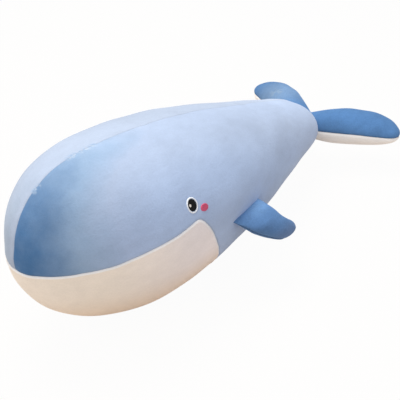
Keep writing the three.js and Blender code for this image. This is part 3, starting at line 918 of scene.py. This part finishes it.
def body_relief(form):
    """Seams, the chin panel's lip, puckers, lumps of stuffing and the flippers' dents."""
    points = form.points
    seams = seam_points(form)
    back_seam = seams.pop(frozenset((BACK_LEFT, BACK_RIGHT)))
    mouth, mouth_place = nearest(points, np.vstack(list(seams.values())))
    middle, middle_place = nearest(points, back_seam)
    calm = 1 - eased((points[:, 1] - nose_y) / BODY_LENGTH, *TAIL_CALM_SHARES)
    height = LUMP_HEIGHT * ripples(points, LUMP_LENGTH, seed=3)
    height -= SEAM_DEPTH * hump(mouth, SEAM_WIDTH) + BACK_SEAM_DEPTH * hump(middle, BACK_SEAM_WIDTH)
    lip = LIP_HEIGHT * hump(mouth - LIP_PLACE, LIP_WIDTH)
    height += lip * np.where(chin_side(points) < 0, 1, BACK_LIP_SHARE)
    for distance, place, seed in ((mouth, mouth_place, 5), (middle, middle_place, 7)):
        height += PUCKER_HEIGHT * ripples(place, PUCKER_LENGTH, seed) * hump(distance, PUCKER_REACH)
    for side in (1, -1):
        line = root_line(side)
        near, _ = nearest(points, line)
        height -= ROOT_DENT_DEPTH * hump(near, ROOT_DENT_WIDTH)
        dimple = np.linalg.norm(points - line[-1], axis=1)
        height -= ROOT_DIMPLE_DEPTH * hump(dimple, ROOT_DIMPLE_WIDTH)
    form = form.raised(height * calm)
    form.points[:, 2] = np.maximum(form.points[:, 2], FLOOR_CLEARANCE)
    return form, {"seam": mouth, "ridge": middle}


def stuffed_body():
    form = body_form(BODY_CELLS)
    form = blown_up(form, BODY_SHRINK, BODY_SWELL_CAP, body_pins(form))
    return body_relief(cut_at_chin(subdivided(form)))


def fin_relief(form, seed):
    """The groove of the rim seam, its puckers and lumps of stuffing."""
    rim, rim_place = nearest_seam(form)
    height = FIN_LUMP_HEIGHT * ripples(form.points, LUMP_LENGTH, seed)
    height -= RIM_SEAM_DEPTH * hump(rim, RIM_SEAM_WIDTH)
    height += FIN_PUCKER_HEIGHT * ripples(rim_place, PUCKER_LENGTH, seed + 1) * hump(rim, PUCKER_REACH)
    return form.raised(height), rim


def stuffed_fin(form, sides):
    """A fin filled as cloth. Its rim and the few rings at its two ends stay where they are."""
    pins = hump(nearest_seam(form)[0], RIM_PIN_REACH)
    pins[:HELD_RINGS * sides] = 1
    pins[-HELD_RINGS * sides - 2:] = 1  # the last two points close the ends
    form = blown_up(form, FIN_SHRINK, FIN_SWELL_CAP, pins)
    return subdivided(form)


def flipper_axes(skin):
    """A flipper's place: its root along the seam, its span out of the skin and drooping."""
    out = np.array(skin.find_nearest(root_middle)[1])
    out -= root_along * out.dot(root_along)
    out /= np.linalg.norm(out)
    down = np.cross(root_along, out)
    down *= -np.sign(down[2])
    inward = -math.cos(FLIPPER_DROOP) * out - math.sin(FLIPPER_DROOP) * down
    across = np.cross(root_along, inward)
    axes = Matrix(np.stack([root_along, inward, across], axis=1).tolist()).to_4x4()
    axes.translation = root_middle
    return axes, out


def fitted_to_skin(form, axes, out, side, skin):
    """The root drawn in until it lies on the skin along its whole seam."""
    local = (form.points * (side, 1, 1) - root_middle) @ np.array(axes.to_3x3())
    places = np.linspace(-FLIPPER_CHORD / 2, FLIPPER_CHORD / 2, ROOT_FIT_PLACES)
    outward = Vector(out * (side, 1, 1))
    gaps = []
    for place in places:
        start = Vector((root_middle + place * root_along) * (side, 1, 1))
        hit = skin.ray_cast(start + outward * ROOT_FIT_SPAN, -outward)[0]
        gaps.append((start - hit).dot(outward) + ROOT_SINK)
    shift = np.interp(local[:, 0], places, gaps) * (1 - eased(-local[:, 1], 0, ROOT_FIT_SPAN))
    return form.moved_to(form.points - shift[:, None] * np.array(outward))


def clear_of_tail(form, clearance):
    """Points inside the tail's round end are pushed out to its face, straight from the line it swings on."""
    points = form.points.copy()
    from_axis = points[:, 1:] - tail_centre[1:]
    distance = np.linalg.norm(from_axis, axis=1)
    width = TAIL_END_HALF_WIDTH + clearance
    radius = (TAIL_END_RADIUS + clearance) * quarter_oval(points[:, 0] / width)
    inside = distance < radius
    scale = radius[inside] / np.maximum(distance[inside], TINY)
    points[inside, 1:] = tail_centre[1:] + from_axis[inside] * scale[:, None]
    return form.moved_to(points)


def fluke_axes():
    axes = Matrix.Rotation(-FLUKE_TILT, 4, "X")
    axes.translation = (0, nose_y + BODY_LENGTH + FLUKE_ROOT_GAP, FLUKE_ROOT_HEIGHT)
    return axes


def fibre_object(name, form, seed):
    """A piece of stuffing, lumpy and a little smaller than the cloth round it."""
    height = FIBRE_LUMP_HEIGHT * (ripples(form.points, FIBRE_LUMP_LENGTH, seed) - 1) / 2
    return smooth_object(name, form.raised(height).points, form.faces)


# Embroidery

def disc_grid(cells):
    """A square grid drawn into a unit disc, with a fan that closes it from below."""
    steps = np.linspace(-1, 1, cells + 1)
    u, v = np.meshgrid(steps, steps, indexing="ij")
    disc = np.stack([u * np.sqrt(1 - v * v / 2), v * np.sqrt(1 - u * u / 2)], axis=-1).reshape(-1, 2)
    index = np.arange((cells + 1) ** 2).reshape(cells + 1, cells + 1)
    faces = sheet_faces(index).tolist()
    loop = [*index[:-1, 0], *index[-1, :-1], *index[:0:-1, -1], *index[0, :0:-1]]
    centre = len(disc)
    faces += [[int(b), int(a), centre] for a, b in round_of(loop)]
    return np.vstack([disc, (0, 0)]), faces


def ring_grid(inner, sides, rings=6):
    """A ring from the inner share of the radius to 1, closed from below."""
    turn = 2 * math.pi * np.arange(sides) / sides
    reach = [*np.linspace(1, inner, rings), (1 + inner) / 2]
    disc = np.vstack([np.stack([r * np.cos(turn), r * np.sin(turn)], axis=-1) for r in reach])
    return disc, ring_faces(len(reach), sides, closed=True)


def on_skin(disc, heights, spot, skin, side, size, turn):
    """Places the unit disc as an oval on the skin. Its first axis points level, towards the tail."""
    hit, normal, _, _ = skin.find_nearest(spot)
    level = Vector((0, 0, 1)).cross(normal).normalized() * side
    upward = Vector((0, 0, 1)) - normal * normal.z
    upward.normalize()
    points = []
    for (u, v), height in zip(disc, heights):
        across = u * size[0] / 2 * math.cos(turn) - v * size[1] / 2 * math.sin(turn)
        up = u * size[0] / 2 * math.sin(turn) + v * size[1] / 2 * math.cos(turn)
        start = hit + level * across + upward * up + normal * size[0]
        found = skin.ray_cast(start, -normal)[0]
        points.append(found + normal * float(height))
    return np.array(points)


def stitched(rise, ridge):
    """Heights over the skin: the stitches start under the pile and rise by that share."""
    return (THREAD_ROOT + THREAD_HEIGHT + THREAD_RIDGE * ridge) * rise - THREAD_ROOT


def thread_oval(name, spot, skin, side, size, turn, cells, stitch_angle, raised=0.0):
    """A flat-topped oval whose stitches lie side by side across that angle."""
    disc, faces = disc_grid(cells)
    reach = np.hypot(disc[:, 0], disc[:, 1])
    rise = quarter_oval(np.clip((reach - 1) / THREAD_EDGE_SHARE + 1, 0, 1))
    across = disc @ (math.cos(stitch_angle) * size[0], math.sin(stitch_angle) * size[1])
    heights = stitched(rise, np.cos(math.pi * across / THREAD_PITCH)) + raised
    heights[-1] = -THREAD_ROOT
    return smooth_object(name, on_skin(disc, heights, spot, skin, side, size, turn), faces)


def thread_ring(name, spot, skin, side, size, turn, rim):
    """A rounded ring whose stitches lie side by side round it."""
    sides = POINTS_PER_STITCH * round(math.pi * size[0] / THREAD_PITCH)
    inner = 1 - 2 * rim / size[0]
    disc, faces = ring_grid(inner, sides)
    reach = np.hypot(disc[:, 0], disc[:, 1])
    middle = (1 + inner) / 2
    roll = quarter_oval(np.abs(reach - middle) / (1 - middle), RIM_FULLNESS)
    turns = np.arctan2(disc[:, 1], disc[:, 0])
    heights = stitched(roll, np.cos(turns * sides / POINTS_PER_STITCH))
    heights[-sides:] = -THREAD_ROOT
    return smooth_object(name, on_skin(disc, heights, spot, skin, side, size, turn), faces)


def node_middle(node):
    low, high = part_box(node)
    return (low + high) / 2


# Materials

def feed(tree, socket, value):
    """Sets a node's input, or links another node's output to it."""
    if isinstance(value, bpy.types.NodeSocket):
        tree.links.new(value, socket)
    else:
        socket.default_value = value


def add_node(tree, kind, settings=(), *values, **named):
    """A new node, whose inputs are fed in their order or by their names."""
    made = tree.nodes.new(kind)
    for key, value in dict(settings).items():
        setattr(made, key, value)
    for key, value in (*enumerate(values), *named.items()):
        feed(tree, made.inputs[key], value)
    return made


class Surface:
    """A cloth's material. Its patterns lie in the piece's rest shape."""

    def __init__(self, name, roughness, sheen, sheen_tint=(1, 1, 1), sheen_roughness=THREAD_SHEEN_ROUGHNESS):
        self.material = bpy.data.materials.new(name)
        self.material.use_nodes = True
        self.tree = self.material.node_tree
        self.shader = self.tree.nodes["Principled BSDF"].inputs
        finish = {
            "Roughness": roughness,
            "Sheen Weight": sheen,
            "Sheen Roughness": sheen_roughness,
            "Sheen Tint": (*sheen_tint, 1),
            "Specular IOR Level": CLOTH_GLOSS,
        }
        for key, value in finish.items():
            feed(self.tree, self.shader[key], value)
        self.rest = self.value_of("rest", "Vector")

    def node(self, kind, settings, *values, **named):
        return add_node(self.tree, kind, settings, *values, **named).outputs

    def value_of(self, key, output="Fac"):
        return self.node("ShaderNodeAttribute", {"attribute_name": key})[output]

    def axis(self, vector, key):
        return self.node("ShaderNodeSeparateXYZ", (), vector)[key]

    def noise(self, length, stretch=(1, 1, 1), detail=NAP_DETAIL):
        """Uneven patches of about that length, from 0 to 1."""
        steps = [1 / (length * s) for s in stretch]
        place = self.node("ShaderNodeVectorMath", {"operation": "MULTIPLY"}, self.rest, steps)[0]
        return self.node("ShaderNodeTexNoise", (), Vector=place, Scale=1.0, Detail=detail)[0]

    def ranged(self, value, low, high, to_low=0.0, to_high=1.0, smooth=True):
        settings = {"interpolation_type": "SMOOTHSTEP" if smooth else "LINEAR"}
        return self.node("ShaderNodeMapRange", settings, value, low, high, to_low, to_high)[0]

    def math(self, operation, a, b):
        return self.node("ShaderNodeMath", {"operation": operation}, a, b)[0]

    def times(self, a, b):
        return self.math("MULTIPLY", a, b)

    def mixed(self, factor, a, b):
        """Colour a where the factor is 0 and colour b where it is 1."""
        made = add_node(self.tree, "ShaderNodeMix", {"data_type": "RGBA"}, factor)
        for key, colour in zip(MIX_INPUTS, (a, b)):
            value = colour if isinstance(colour, bpy.types.NodeSocket) else (*colour, 1)
            feed(self.tree, made.inputs[key], value)
        return made.outputs[MIX_OUTPUT]

    def scaled(self, colour, level):
        """The colour made lighter or darker."""
        return self.node("ShaderNodeVectorMath", {"operation": "SCALE"}, colour, Scale=level)[0]

    def finish(self, colour, bump_heights):
        """Takes the colour, and the bumps as pairs of a value and its height."""
        feed(self.tree, self.shader["Base Color"], colour)
        under = {}
        for value, height in bump_heights:
            normal = self.node("ShaderNodeBump", (), Strength=1.0, Distance=height, Height=value, **under)[0]
            under = {"Normal": normal}
        feed(self.tree, self.shader["Normal"], normal)
        return self.material


def plush(name, colour, sheen_tint, crush, paint=None, seam_shade=SEAM_SHADE):
    """Short-pile plush: patches brushed either way, a fine uneven pile and painted shade along the seams."""
    surface = Surface(name, PLUSH_ROUGHNESS, PLUSH_SHEEN, sheen_tint, PLUSH_SHEEN_ROUGHNESS)
    shade = colour if paint is None else paint(surface)
    patches = surface.noise(BRUSH_LENGTH, BRUSH_STRETCH)
    streaks = surface.noise(NAP_LENGTH, NAP_STRETCH)
    pile = surface.noise(PILE_LENGTH, PILE_STRETCH)
    # painted shade along the seams
    level = surface.ranged(surface.value_of("seam"), 0, SEAM_SHADE_WIDTH, seam_shade, 1)
    for value, depth in ((patches, BRUSH_DEPTH), (streaks, NAP_DEPTH), (pile, PILE_DEPTH)):
        share = surface.ranged(value, *NOISE_SPAN, 1 - crush * depth, 1 + crush * depth)
        level = surface.times(level, share)
    return surface.finish(surface.scaled(shade, level), ((pile, PILE_BUMP), (streaks, NAP_BUMP)))


def back_of(surface):
    """How far back from the nose."""
    return surface.math("SUBTRACT", surface.axis(surface.rest, "Y"), nose_y)


def paler_tail(surface, shade):
    return surface.scaled(shade, surface.ranged(back_of(surface), *TAIL_PALE_SPAN, 1, TAIL_PALENESS))


def tufts(surface, length, strength):
    """Where pile of the other panel shows through along the back seam on the head."""
    near = surface.ranged(surface.value_of("ridge"), TUFT_REACH, 0)
    back = back_of(surface)
    bunches = 0
    for place, reach in TUFT_BUNCHES:
        away = surface.math("ABSOLUTE", surface.math("SUBTRACT", back, place), 0)
        bunches = surface.math("MAXIMUM", bunches, surface.ranged(away, reach, reach / 2))
    ragged = surface.ranged(surface.noise(length, TUFT_STRETCH, TUFT_DETAIL), *TUFT_SPAN, 0, strength)
    return surface.times(ragged, surface.times(near, bunches))


def brushed_forehead_shade(surface):
    """The left panel's nap lies down at the front of the head, and painted shade makes it much darker there.
    """
    ridge = surface.value_of("ridge")
    # painted sheen: the top is greyer where it is seen at a grazing angle
    top = surface.mixed(surface.ranged(ridge, *CREST_SPAN), CREST_SHEEN_BLUE, SIDE_BLUE)
    patches = surface.noise(NAP_LENGTH * 2)
    uneven = surface.ranged(patches, *NOISE_SPAN, -FOREHEAD_UNEVEN / 2, FOREHEAD_UNEVEN / 2)
    nearer = surface.ranged(ridge, *RIDGE_SPAN, RIDGE_SHARE, 1)
    reach = surface.math("ADD", surface.times(back_of(surface), nearer), uneven)
    outer = surface.ranged(reach, FOREHEAD_MIDDLE, FOREHEAD_REACH, smooth=False)
    inner = surface.ranged(reach, 0, FOREHEAD_MIDDLE, smooth=False)
    # painted shade of the nap that lies down at the front
    front = surface.mixed(inner, BRUSHED_NAP_SHADE_BLUE, MID_NAP_SHADE_BLUE)
    shade = paler_tail(surface, surface.mixed(outer, front, top))
    shade = surface.mixed(tufts(surface, TUFT_LENGTH, TUFT_SHARE), shade, TUFT_WHITE)
    return surface.mixed(tufts(surface, DASH_LENGTH, DASH_SHARE), shade, MID_NAP_SHADE_BLUE)


def pale_forehead_sheen(surface):
    """The right panel's nap stands up on the forehead, and painted sheen, as it is seen at a grazing angle,
    makes it whitish.
    """
    front = surface.ranged(back_of(surface), *PALE_SPAN)
    off_seam = surface.ranged(surface.value_of("ridge"), *PALE_SEAM_SPAN)
    # painted sheen on the forehead
    shade = surface.mixed(surface.times(front, off_seam), RIGHT_BLUE, PALE_SHEEN_BLUE)
    shade = paler_tail(surface, shade)
    return surface.mixed(tufts(surface, DASH_LENGTH, RIGHT_DASH_SHARE), shade, MID_NAP_SHADE_BLUE)


def chin_tones_and_painted_light(surface):
    """The chin is warm in front and cooler behind, with painted warm bounce light and shade low down, and a
    painted highlight along the lip by its seam.
    """
    shade = surface.mixed(surface.ranged(back_of(surface), *COOL_SPAN), FRONT_CREAM, REAR_CREAM)
    # painted warm bounce light and shade low down
    low = surface.ranged(surface.axis(surface.rest, "Z"), *PAINTED_BOUNCE_SPAN, 0, PAINTED_BOUNCE_SHARE)
    # painted highlight along the chin panel's lip
    edge = surface.ranged(surface.value_of("seam"), *LIP_HIGHLIGHT_SPAN, 0, LIP_HIGHLIGHT_SHARE)
    return surface.mixed(edge, surface.mixed(low, shade, PAINTED_BOUNCE_PEACH), LIP_HIGHLIGHT_WHITE)


def shiny_root(surface):
    """The flipper's upper side has a painted highlight beside its root seam, where it faces up."""
    fin = surface.value_of("fin", "Vector")
    out = surface.axis(fin, "Y")
    start, full, fading, end = SHINE_SPAN
    band = surface.times(surface.ranged(out, start, full), surface.ranged(out, end, fading))
    rear = surface.ranged(surface.axis(fin, "X"), *SHINE_REAR_SPAN, SHINE_FRONT, 1)
    shade = surface.mixed(surface.ranged(out, *TIP_SPAN), FLIPPER_BLUE, FLIPPER_TIP_BLUE)
    return surface.mixed(surface.times(band, rear), shade, FLIPPER_SHINE)


def brushed_and_highlit_fluke(surface):
    """The right lobe is paler, with a ragged pale patch: nap brushed the other way, and a painted highlight.
    """
    distance = {"operation": "DISTANCE"}
    away = surface.node("ShaderNodeVectorMath", distance, surface.rest, PALE_PATCH_PLACE)["Value"]
    patch = surface.ranged(away, PALE_PATCH_REACH, 0)
    ragged = surface.ranged(surface.noise(NAP_LENGTH), *PALE_PATCH_SPAN, 0, PALE_PATCH_SHARE)
    paler_lobe = surface.ranged(away, *PALER_LOBE_SPAN, 0, PALER_LOBE_SHARE)
    pale = surface.math("MAXIMUM", paler_lobe, surface.times(patch, ragged))
    return surface.mixed(pale, FLUKE_BLUE, PALE_PATCH_BLUE)


def thread(name, colour, shaded, roughness=THREAD_ROUGHNESS, sheen=THREAD_SHEEN):
    """Satin-stitched embroidery thread, with painted shade between its strands."""
    surface = Surface(name, roughness, sheen)
    strands = surface.noise(THREAD_PITCH, detail=STRAND_DETAIL)
    # painted shade between the strands
    shade = surface.mixed(surface.ranged(strands, *STRAND_SPAN, 0, STRAND_SHARE), colour, shaded)
    return surface.finish(shade, ((strands, THREAD_RIDGE),))


def fibre(name):
    surface = Surface(name, FIBRE_ROUGHNESS, FIBRE_SHEEN)
    strands = surface.noise(FIBRE_LENGTH, FIBRE_STRETCH, FIBRE_DETAIL)
    shade = surface.mixed(strands, FIBRE_WHITE, FIBRE_GREY)
    return surface.finish(shade, ((strands, FIBRE_BUMP),))


# Assembly

def dress(obj, material, body, slot, *nodes):
    obj.data.materials.clear()
    obj.data.materials.append(material)
    if isinstance(body, str):
        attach(obj, body)
    else:
        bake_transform(obj)
    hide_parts(*nodes)
    return obj


def tail_bend():
    start, end = ((0, place, tail_centre[2]) for place in BODY_BLEND)
    return "whale_body", "fluke", start, end


def make_body():
    form, values = stuffed_body()
    names = ("back_left_plush", "back_right_plush", "chin_plush")
    left, right, chin = split_panels(form, names, values, ALLOWANCE)
    left_cloth = plush("light_blue_left", SIDE_BLUE, BLUE_SHEEN, BLUE_CRUSH, brushed_forehead_shade)
    right_cloth = plush("light_blue_right", RIGHT_BLUE, BLUE_SHEEN, BLUE_CRUSH, pale_forehead_sheen)
    chin_cloth = plush("cream_chin", FRONT_CREAM, CREAM_SHEEN, CREAM_CRUSH, chin_tones_and_painted_light)
    dress(left, left_cloth, tail_bend(), "light_blue_plush", "back_panel_left")
    dress(right, right_cloth, tail_bend(), "light_blue_plush", "back_panel_right")
    dress(chin, chin_cloth, "whale_body", "cream_plush", "chin_panel")
    filling = subdivided(body_form(FILL_CELLS, STUFFING_INSET))
    filling.points[:, 2] = np.maximum(filling.points[:, 2], STUFFING_INSET)
    stuffing = fibre_object("body_fibre", filling, seed=11)
    dress(stuffing, fibre("body_fibre_fill"), tail_bend(), "fibre_fill", "body_stuffing")
    return BVHTree.FromPolygons(form.points.tolist(), form.faces)


def make_flippers(skin):
    axes, out = flipper_axes(skin)
    cloth = stuffed_fin(flipper_form(), FLIPPER_CELLS[1])
    fill = flipper_form(STUFFING_INSET / 2)
    look = FLIPPER_BLUE, DARK_SHEEN, FLIPPER_CRUSH
    blue = plush("dark_blue_flipper", *look, shiny_root, FIN_SEAM_SHADE)
    dull = plush("dark_blue_flipper_under", *look, None, FIN_SEAM_SHADE)
    white = fibre("flipper_fibre_fill")
    for side, label in SIDES:
        pieces = []
        across_fin = cloth.points * (1, -1, 1)
        for form in (cloth, fill):
            form = placed(form, axes)
            if side < 0:
                form = mirrored(form)
            pieces.append(fitted_to_skin(form, axes, out, side, skin))
        start = Vector(root_middle * (side, 1, 1))
        span = -Vector(np.array(axes.col[1].xyz) * (side, 1, 1))
        bend = "whale_body", f"flipper_{label}", start, start + span * FLIPPER_BLEND
        relief, rim = fin_relief(pieces[0], seed=20 + side)
        names = (f"flipper_{label}_upper", f"flipper_{label}_lower")
        at_root = 1 - eased(across_fin[:, 1], 0, ROOT_LIGHT_SPAN)
        values = {"seam": rim + SEAM_SHADE_WIDTH * at_root, "fin": across_fin}
        top, under = split_panels(relief, names, values, FIN_ALLOWANCE)
        dress(top, blue, bend, "dark_blue_plush", f"flipper_{label}_top")
        dress(under, dull, bend, "dark_blue_plush", f"flipper_{label}_under")
        stuffing = fibre_object(f"flipper_{label}_fibre", pieces[1], seed=30 + side)
        dress(stuffing, white, bend, "fibre_fill", f"flipper_{label}_stuffing")


def make_fluke():
    axes = fluke_axes()
    form, rim = fin_relief(placed(stuffed_fin(fluke_form(), FLUKE_CELLS[1]), axes), seed=41)
    form = clear_of_tail(form, CONTACT_GAP)
    top, under = split_panels(form, ("fluke_upper", "fluke_lower"), {"seam": rim}, FIN_ALLOWANCE)
    blue = plush("dark_blue_fluke", FLUKE_BLUE, DARK_SHEEN, FLUKE_CRUSH, brushed_and_highlit_fluke, FIN_SEAM_SHADE)
    cream = plush("cream_fluke", FIN_CREAM, CREAM_SHEEN, CREAM_CRUSH)
    dress(top, blue, "fluke", "dark_blue_plush", "fluke_top")
    dress(under, cream, "fluke", "cream_plush", "fluke_under")
    fill = clear_of_tail(placed(fluke_form(STUFFING_INSET), axes), STUFFING_INSET)
    stuffing = fibre_object("fluke_fibre", fill, seed=43)
    dress(stuffing, fibre("fluke_fibre_fill"), "fluke", "fibre_fill", "fluke_stuffing")


def make_faces(skin):
    white = thread("white_embroidery", THREAD_WHITE, SHADED_WHITE)
    black = thread("black_embroidery", THREAD_BLACK, SHADED_BLACK, BLACK_ROUGHNESS, 0.0)
    shine = thread("highlight_embroidery", HIGHLIGHT, SHADED_HIGHLIGHT)
    pink = thread("pink_embroidery", THREAD_PINK, SHADED_PINK)
    pupil_size, lean = PUPIL["size"], PUPIL["turn"]
    ring_share = 1 + 2 * EYE_RIM / pupil_size[0]
    ring_size = tuple(size * ring_share for size in pupil_size)
    for side, label in SIDES:
        eye = node_middle(f"eye_{label}_pupil")
        glint = node_middle(f"eye_{label}_highlight")
        glint.y -= GLINT_SHIFT
        cheek = node_middle(f"blush_{label}")
        cheek.z += BLUSH_RISE
        ring = thread_ring(f"eye_{label}_rim", eye, skin, side, ring_size, lean, EYE_RIM)
        pupil = thread_oval(f"eye_{label}_black", eye, skin, side, **PUPIL)
        spot = thread_oval(f"eye_{label}_glint", glint, skin, side, **GLINT, raised=THREAD_HEIGHT / 2)
        blush = thread_oval(f"blush_{label}_oval", cheek, skin, side, **BLUSH)
        dress(ring, white, "whale_body", "white_thread", f"eye_{label}_white")
        dress(pupil, black, "whale_body", "black_thread", f"eye_{label}_pupil")
        dress(spot, shine, "whale_body", "white_thread", f"eye_{label}_highlight")
        dress(blush, pink, "whale_body", "pink_thread", f"blush_{label}")


# Stage

def make_camera():
    """The camera looks forward from its azimuth and down by its elevation."""
    data = bpy.data.cameras.new("camera")
    data.lens = CAMERA_LENS_MM
    data.sensor_width = SENSOR_MM
    camera = add_object("camera", data)
    turn = Matrix.Rotation(CAMERA_AZIMUTH, 4, "Z")
    tilt = Matrix.Rotation(math.pi / 2 - CAMERA_ELEVATION, 4, "X")
    roll = Matrix.Rotation(CAMERA_ROLL, 4, "Z")
    camera.matrix_world = Matrix.Translation(CAMERA_PLACE) @ turn @ tilt @ roll
    bpy.context.scene.camera = camera


def make_lamp(name, place, size, energy):
    data = bpy.data.lights.new(name, "AREA")
    data.shape = "DISK"
    data.size = size
    data.energy = energy
    data.color = LAMP_COLOUR
    lamp = add_object(name, data)
    lamp.location = place
    lamp.rotation_euler = (-Vector(place)).to_track_quat("-Z", "Y").to_euler()


def end_in_white(tree, plain, white, share, output):
    """Ends the tree in the plain shader, whitened by that share where the camera or a reflection sees it."""
    path = add_node(tree, "ShaderNodeLightPath").outputs
    seen = path["Is Camera Ray"]
    for key in ("Is Glossy Ray", "Is Transmission Ray"):
        seen = add_node(tree, "ShaderNodeMath", {"operation": "MAXIMUM"}, seen, path[key]).outputs[0]
    level = add_node(tree, "ShaderNodeMath", {"operation": "MULTIPLY"}, seen, share).outputs[0]
    mix = add_node(tree, "ShaderNodeMixShader", (), level, plain.outputs[0], white.outputs[0])
    tree.links.new(mix.outputs[0], tree.nodes[output].inputs["Surface"])


def make_floor():
    half = FLOOR_SIZE / 2
    corners = [(-half, -half, 0), (half, -half, 0), (half, half, 0), (-half, half, 0)]
    mesh = bpy.data.meshes.new("floor")
    mesh.from_pydata(corners, [], [(0, 1, 2, 3)])
    material = bpy.data.materials.new("floor")
    material.use_nodes = True
    tree = material.node_tree
    plain = tree.nodes["Principled BSDF"]
    plain.inputs["Base Color"].default_value = (*FLOOR_COLOUR, 1)
    plain.inputs["Roughness"].default_value = 1
    end_in_white(tree, plain, add_node(tree, "ShaderNodeEmission"), FLOOR_WHITE, "Material Output")
    mesh.materials.append(material)
    add_object("floor", mesh)


def make_world():
    world = bpy.data.worlds.new("studio")
    world.use_nodes = True
    bpy.context.scene.world = world
    tree = world.node_tree
    plain = tree.nodes["Background"]
    plain.inputs["Color"].default_value = (*WORLD_COLOUR, 1)
    plain.inputs["Strength"].default_value = WORLD_LIGHT
    white = add_node(tree, "ShaderNodeBackground", (), (1, 1, 1, 1))
    end_in_white(tree, plain, white, 1, "World Output")


bpy.context.scene.view_settings.view_transform = "Standard"
make_camera()
make_world()
make_floor()
make_lamp("top_lamp", **TOP_LAMP)
make_lamp("front_lamp", **FRONT_LAMP)
body_skin = make_body()
make_flippers(body_skin)
make_fluke()
make_faces(body_skin)
